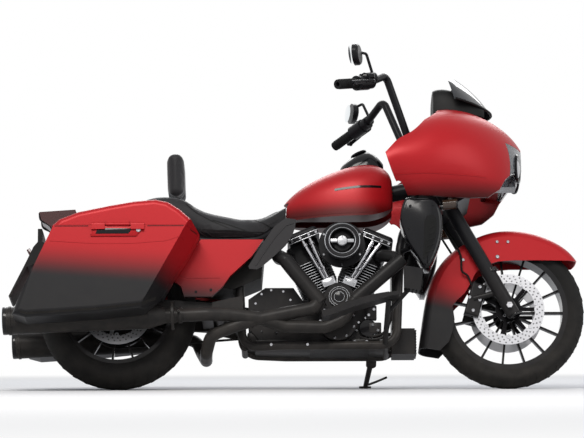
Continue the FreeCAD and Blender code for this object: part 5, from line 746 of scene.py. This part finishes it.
def add_exhaust_trim():
    """Clamps, the headers' heat shields and the muffler ends."""
    bands, ends, screws, shield = new_meshes(4)
    for side, _ in SIDES:
        clamp_band(bands, (268, side * MUFFLER_Y, 262), (1, 0, 0.03), 30.0, 16)
        tail = MUFFLER_TAIL + Vector((0, side * MUFFLER_Y, 0))
        for x in (236, -430):
            clamp_band(bands, tail + MUFFLER_WAY * ((x - tail.x) / MUFFLER_WAY.x), (1, 0, 0.031), 57.0, 12)
        lathe(ends, tail, (-1, 0, -0.031), [(50, -14), (57.2, -14), (58, -4), (56.5, 1.5), (51, 1.5),
                                            (49.6, -2)], 48)
        bolt(screws, (262, side * 262, 268), (0, side, 0.2), 6, 16, sides=6)
    piece("muffler_bands", bands, "exhaust_black")
    piece("muffler_tips", ends, "exhaust_black", "gloss_black")
    tube(shield, [(1184, -180, 512), (1120, -181, 456), (1040, -181, 386), (985, -180, 338)], 29.5, 15, 5)
    tube(shield, [(700, -200, 503), (745, -200, 445), (800, -200, 378), (846, -200, 320)], 31.0, 15, 5)
    piece("header_shields", shield, "exhaust_black")
    piece("exhaust_screws", screws, "exhaust_black")


# Saddlebags, side covers and tank


def add_bag_trim():
    """Latch cover and grip, lock, pressed line, base trim and lid seam of each saddlebag."""
    for side, label in SIDES:
        tree = probe_of(f"{label}_saddlebag")
        cover, grip, lock, trim, bars, seam = new_meshes(6)
        slab(cover, [(-90, 540), (96, 540), (126, 582), (-74, 584)], side, 450.0, 457.5, 2.0)
        piece(f"{label}_latch_cover", cover, "red_paint")
        slab(grip, [(-70, 550), (64, 550), (80, 572), (-60, 574)], side, 457.0, 459.0, 0.8)
        piece(f"{label}_latch_grip", grip, "gloss_black")
        lathe(lock, (104, side * 457, 566), (0, side, 0), [
            (TINY, 0), (9.5, 0), (9.5, 2.5), (8, 4), (3, 4), (2.4, 2.6), (TINY, 2.6)], 24)
        piece(f"{label}_bag_lock", lock, "chrome")
        draped(trim, tree, [(-255, 523), (-71, 511), (80, 512), (214, 522), (290, 545)], side, 3.4, 1.2)
        piece(f"{label}_bag_crease", trim, "red_paint", "bag_paint")
        draped(bars, tree, [(-372, 230), (-345, 222), (-69, 240), (118, 261), (172, 305)], side, 9.0, 1.6)
        piece(f"{label}_bag_base_trim", bars, "gloss_black", "black_plastic")
        for ends in ([(-236, 584), (-100, 584)], [(140, 584), (338, 584)]):
            draped(seam, tree, ends, side, 3.6, 0.6)
        piece(f"{label}_lid_seam", seam, "black_plastic")


def add_tank_trim():
    """Fuel cap, a bare strip where a badge would sit, and the tank's lower seam."""
    tree = probe_of("fuel_tank")
    strips, seams, cap = new_meshes(3)
    for side, _ in SIDES:
        draped(strips, tree, [(905, 818), (1000, 828), (1100, 832)], side, 12.0, 1.4)
        draped(seams, tree, [(700, 722), (800, 716), (1000, 716), (1130, 724)], side, 4.0, 1.2)
    piece("tank_strips", strips, "gloss_black")
    piece("tank_seams", seams, "red_paint", "tank_paint")
    top, way = probe_of("tank_console").ray_cast(Vector((1010, 0, 1300)), Vector((0, 0, -1)))[:2]
    lathe(cap, top - way * 3, way, [(TINY, 0), (34, 0), (36, 3), (34, 8), (20, 10), (TINY, 10)], 40)
    piece("fuel_cap", cap, "gloss_black", "black_metal")


def add_cover_trim():
    """The side covers' pressed line and screws, and the heat deflector's rib."""
    ribs, lines, screws = new_meshes(3)
    covers = probe_of("side_covers")
    rib = [(732, 655), (702, 645), (655, 592), (606, 520), (578, 474)]
    draped(ribs, probe_of("heat_deflector"), rib, -1, 5.0, 2.2)
    piece("deflector_rib", ribs, "grey_plastic")
    for side, _ in SIDES:
        draped(lines, covers, [(262, 440), (300, 428), (430, 430)], side, 3.6, 1.4)
        for x, z in ((330, 370), (392, 378)):
            bolt_on(screws, covers, x, z, side, 5.5, 3.0)
    piece("side_cover_lines", lines, "red_paint", "bag_paint")
    piece("side_cover_screws", screws, "black_metal")


# Fairing, lamps and screen


def add_fairing_trim():
    """Screen trim, the fairing's pressed line and the turn signals' rims and stalks."""
    trim, creases, rings = new_meshes(3)
    half = [(1412, 196, 1200), (1458, 176, 1192), (1508, 130, 1185), (1556, 62, 1180)]
    tube(trim, [(x, -y, z) for x, y, z in half] + [(1572, 0, 1178)] + half[::-1], 5.0)
    piece("screen_trim", trim, "gloss_black", "black_plastic")
    fairing = probe_of("fairing")
    for side, _ in SIDES:
        draped(creases, fairing, [(1130, 818), (1282, 826), (1418, 829), (1530, 832)], side, 4.0, 1.6)
        lathe(rings, (1405, side * 250, 725), (1, 0, 0), [(17, 0), (22, 0), (22.5, 4), (21, 7), (17, 6)], 28)
        block(rings, (1352, side * 232, 716), (26, 30, 18), 4.0)
    piece("fairing_creases", creases, "red_paint", "fairing_paint")
    piece("signal_rings", rings, "lens_smoke", "gloss_black")


def add_lamp_inside():
    """Two round lamps with dark surrounds behind the clear cover."""
    for side, label in SIDES:
        cup, lens = new_meshes(2)
        place, way = (1674, side * 84, 922), (1, side * 0.2, 0)
        lathe(cup, place, way, [(52, -6), (60, -6), (62, 0), (60, 6), (54, 4), (44, -4)], 40)
        piece(f"{label}_lamp_surround", cup, "gloss_black")
        lathe(lens, place, way, [(TINY, -2), (38, -4), (40, 0), (32, 5), (16, 8), (TINY, 9)], 40)
        piece(f"{label}_lamp_lens", lens, "lens_clear", "chrome")


def add_lower_pods():
    """The smooth lower fairing pods with their vent mouths, slats and screws; each vent mouth is a flat plate of
    rough black, painted shade for the dark inside of the opening.
    """
    pods, mouths, slats, screws = new_meshes(4)
    outline = smooth_outline([(1196, 742), (1174, 670), (1190, 588), (1238, 504), (1286, 446), (1338, 560),
                              (1344, 671), (1312, 738), (1250, 743)])
    mouth = smooth_outline([(1268, 478), (1314, 560), (1320, 655), (1290, 668), (1272, 640), (1268, 560)])
    slat = [(-1.6, -2.0), (1.6, -0.4), (1.6, 0.4), (-1.6, 2.0)]
    for side, _ in SIDES:
        slab(pods, outline, side, 177.0, 295.0, 16.0, 4)
        # A flat rough-black plate in the vent mouth: painted shade for the opening.
        slab(mouths, mouth, side, 288.0, 296.0, 2.0)
        for n in range(6):
            tube(slats, [(1274 + 4 * n, side * 297, 510 + 25 * n), (1312, side * 297, 522 + 25 * n)], 1.0,
                 steps=0, section=slat)
        for x, z in ((1214, 706), (1206, 610), (1308, 712)):
            bolt(screws, (x, side * 294.5, z), (0, side, 0), 6.0, 3.5)
    piece("lower_pods", pods, "gloss_black", replaces="lower_fairings")
    piece("lower_vent_mouth_shade", mouths, "gloss_black", "tailpipe")
    piece("lower_vent_slats", slats, "gloss_black", "black_plastic")
    piece("lower_screws", screws, "black_metal")


def add_rear_lamp_trim():
    """Lens rims and the reflectors beside the bare plate holder."""
    rim, glass = new_meshes(2)
    for side, _ in SIDES:
        tube(rim, [(-331, side * 60, 744), (-324, side * 62, 712), (-286, side * 62, 688),
                   (-264, side * 60, 642)], 4.0)
        block(glass, (-362, side * 84, 560), (50, 8, 16), 2.5, math.radians(62))
    piece("tail_lamp_rims", rim, "chrome", "gloss_black")
    piece("side_reflectors", glass, "lens_red")


# Fender, fork and bars


def add_front_end_trim():
    """Fender screws, caliper bolts and fork collars."""
    screws, collars = new_meshes(2)
    fender, calipers = probe_of("front_fender"), probe_of("front_calipers")
    for side, _ in SIDES:
        for x, z, radius in ((1583, 607, 6.5), (1628, 607, 6.5), (1440, 530, 6.5), (1583, 543, 8.0)):
            bolt_on(screws, fender, x, z, side, radius, 4.5)
        for degrees, radius in ((143, 148), (164, 168), (184, 148), (164, 124)):
            at = about(FRONT_AXLE, radius, degrees, 0)
            bolt_on(screws, calipers, at.x, at.z, side, 7.5, 6.0, least=90)
        low, high = Vector((1661, side * 125, 266)), Vector((1397, side * 125, 770))
        way = (high - low).normalized()
        for distance, radius in ((228.0, 29.5), (236.0, 27.8), (20.0, 29.6)):
            lathe(collars, low + way * distance, way, [(26, -5), (radius, -4), (radius + 1, 0), (radius, 4),
                                                       (26, 5)])
    piece("front_end_bolts", screws, "chrome", body="steering")
    piece("fork_collars", collars, "black_metal", "gloss_black", body="steering")


def add_bar_trim():
    """Grip ribs, levers and brake reservoir lids."""
    ribs, levers, lids = new_meshes(3)
    way = Vector((134, 155, 56)).normalized()
    for side, _ in SIDES:
        end = Vector((916.1, side * 455, 1180))
        run = Vector((way.x, -side * way.y, way.z))
        for n in range(9):
            lathe(ribs, end + run * (14 + 12 * n), run, [(19.0, -3), (21.4, -2), (21.4, 2), (19.0, 3)], 20)
        start, tip = end + run * 140 + Vector((30, 0, 8)), end + run * 12 + Vector((62, 0, 4))
        tube(levers, [start, start.lerp(tip, 0.4) + Vector((18, 0, 4)), tip], 6.0)
        lathe(levers, tip, run, [(TINY, -9), (6, -7), (9, 0), (6, 7), (TINY, 9)], 16)
        block(lids, end + run * 160 + Vector((22, 0, 26)), (64, 40, 16), 4.0)
    piece("grip_ribs", ribs, "grip_rubber", body="steering")
    piece("hand_levers", levers, "black_metal", body="steering")
    piece("reservoir_lids", lids, "black_metal", "gloss_black", body="steering")


def add_mirror_glass():
    """The silvered face of each mirror, on its rear side."""
    half_width, half_height, set_back = 60, 36, -13
    for side, label in SIDES:
        bm = bmesh.new()
        lathe(bm, (0, 0, 0), (-1, 0, 0), [(TINY, 0), (0.94, 0), (1.0, 0.6), (0.94, 1.4), (TINY, 2.0)], 40)
        bmesh.ops.scale(bm, vec=(1, half_width, half_height), verts=bm.verts)
        turn = Matrix.Rotation(math.radians(11 * side), 4, "Z") @ Matrix.Translation((set_back, 0, 0))
        bmesh.ops.transform(bm, matrix=Matrix.Translation((985, side * 420, 1318)) @ turn, verts=bm.verts)
        piece(f"{label}_mirror_glass", bm, "chrome", "mirror_glass", body="steering")


# Footrests, cooler and lower frame


def add_foot_trim():
    """Rubber treads on the footboards, pedal ribs and cooling fins."""
    rubber, ribs, fins = new_meshes(3)
    for side, _ in SIDES:
        for n in range(7):
            y = side * (340 + 12.5 * n)
            tube(rubber, [(880, y, 246), (929, y, 266), (1042, y, 299), (1120, y, 313)], 3.4, 6, steps=2)
    piece("footboard_rubber", rubber, "grip_rubber")
    for n in range(5):
        x, z = 1190 + 14 * n, 337 - n * 2.6
        tube(ribs, [(x, -332, z), (x, -386, z)], 3.0, 6, steps=0)
    piece("pedal_ribs", ribs, "grip_rubber")
    for n in range(9):
        block(fins, (1238, 0, 140 + 12 * n), (10, 112, 3.2), 0.8)
    for n in range(15):
        block(fins, (1177, 0, 262 + 16 * n), (6, 180, 2.6), 0.7)
    piece("cooling_fins", fins, "black_metal")


def add_low_clutter():
    """Brackets, lines and fasteners low on the frame and in front of the crankcase."""
    lines, bolts, parts = new_meshes(3)
    for shift in (0, 14, 28):
        tube(lines, [(1010, -96, 212 - shift), (1060, -104, 200 - shift), (1110, -104, 220 - shift),
                     (1140, -92, 280 + shift)], 5.0)
    piece("oil_lines", lines, "black_metal")
    for place in ((1066, -113, 312), (1044, -113, 288), (1060, -109, 246), (1082, -109, 224),
                  (985, -103, 178), (1035, -103, 178), (640, -129, 160), (790, -129, 160)):
        bolt(bolts, place, RIGHT, 7.0, 5.5, sides=6)
    piece("frame_bolts", bolts, "chrome")
    for centre, size, bevel in (
            ((1055, -96, 300), (44, 34, 60), 5.0), ((1070, -94, 236), (52, 30, 46), 5.0),
            ((1010, -90, 178), (80, 26, 26), 4.0), ((850, 0, 172), (560, 176, 40), 8.0),
            ((600, 0, 196), (120, 150, 60), 8.0)):
        block(parts, centre, size, bevel)
    piece("engine_mount_parts", parts, "black_metal")


def add_stand_tang():
    """The foot bar of the side stand."""
    bm = bmesh.new()
    tube(bm, [(1050, 318, 84), (1090, 322, 100), (1130, 326, 118)], 5.0)
    piece("stand_tang", bm, "frame_black", body="stand")


# Hoses


def add_hose(name, body, points, diameter):
    """A free hose: a bevelled curve through points, attached to a body."""
    line = [BIKE @ p for p in smooth_line(points)]
    data = bpy.data.curves.new(name, "CURVE")
    data.dimensions, data.bevel_depth, data.bevel_resolution = "3D", diameter / 2, 3
    data.use_fill_caps = True
    spline = data.splines.new("POLY")
    spline.points.add(len(line) - 1)
    for point, at in zip(spline.points, line):
        point.co = (*at, 1)
    data.materials.append(MATERIALS["belt_rubber"])
    obj = bpy.data.objects.new(name, data)
    bpy.context.scene.collection.objects.link(obj)
    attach(obj, body)


def add_hoses():
    """The front brake hoses, from the lower fork clamp down to the calipers."""
    clamps, calipers = probe_of("fork_clamps"), probe_of("front_calipers")
    for side, label in SIDES:
        start = clamps.find_nearest(Vector((1360, side * 80, 690)))[0]
        end = calipers.find_nearest(Vector((1470, side * 96, 420)))[0]
        points = [start, start + Vector((-6, 0, -40)), (1424, side * 100, 560), (1432, side * 108, 480),
                  end + Vector((-16, 0, 40)), end]
        add_hose(f"{label}_brake_hose", "steering", points, 0.009)


# Seat and backrest


def settle(obj):
    """The object's modifiers made real."""
    graph = bpy.context.evaluated_depsgraph_get()
    graph.update()
    mesh = bpy.data.meshes.new_from_object(obj.evaluated_get(graph))
    obj.modifiers.clear()
    obj.data = mesh


def swell(obj, cap):
    """Cloth under pressure that moves no point by more than the cap."""
    start = [v.co.copy() for v in obj.data.vertices]
    cloth = obj.modifiers.new("cloth", "CLOTH")
    cloth.settings.use_pressure = True
    cloth.settings.uniform_pressure_force = 4.0
    cloth.settings.effector_weights.gravity = 0.0
    for number in range(1, 21):
        bpy.context.scene.frame_set(number)
    settle(obj)
    bpy.context.scene.frame_set(1)
    for vert, old in zip(obj.data.vertices, start):
        step = vert.co - old
        if step.length > cap:
            vert.co = old + step.normalized() * cap


def add_pad(name, node, slot, voxel, shrink=0.003, cap=0.007):
    """A padded cover grown from its CAD solid."""
    mesh = nodes[node].data.copy()
    obj = bpy.data.objects.new(name, mesh)
    bpy.context.scene.collection.objects.link(obj)
    bm = bmesh.new()
    bm.from_mesh(mesh)
    bmesh.ops.remove_doubles(bm, verts=bm.verts, dist=1e-5)
    bm.normal_update()
    for vert in bm.verts:
        vert.co -= vert.normal * shrink
    bm.to_mesh(mesh)
    bm.free()
    remesh = obj.modifiers.new("remesh", "REMESH")
    remesh.mode, remesh.voxel_size = "VOXEL", voxel
    settle(obj)
    swell(obj, cap)
    smooth = obj.modifiers.new("smooth", "SUBSURF")
    smooth.levels = smooth.render_levels = 1
    for face in obj.data.polygons:
        face.use_smooth = True
    obj.data.materials.clear()
    obj.data.materials.append(MATERIALS[slot])
    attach(obj, "chassis")
    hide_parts(node)
    return obj


SEAT_SEAMS = (
    [(285, 765), (330, 722), (390, 682), (468, 644)], [(397, 684), (460, 662), (530, 638)],
    [(559, 700), (620, 676), (676, 655)], [(180, 668), (300, 652), (420, 636), (560, 632), (660, 648)],
)


def add_padding():
    """The padded seat with sewn lines on its sides, and the padded backrest."""
    seat, bm = probe_of(add_pad("padded_seat", "seat", "seat_cover", 0.006)), bmesh.new()
    for side, _ in SIDES:
        for points in SEAT_SEAMS:
            draped(bm, seat, points, side, 4.0, 1.2, 6)
    piece("seat_seams", bm, "seat_cover", "black_plastic")
    add_pad("padded_backrest", "backrest_pad", "seat_cover", 0.005)


bpy.context.scene.view_settings.view_transform = "Standard"
for build in (
        add_camera, add_world, add_floor, add_lights, dress_nodes, add_wheels, add_fin_edges, add_head_trim,
        add_case_trim, add_air_cleaner, add_exhaust_trim, add_bag_trim, add_tank_trim, add_cover_trim,
        add_fairing_trim, add_lamp_inside, add_lower_pods, add_rear_lamp_trim, add_front_end_trim,
        add_bar_trim, add_mirror_glass, add_foot_trim, add_low_clutter, add_hoses, add_stand_tang,
        add_padding):
    build()
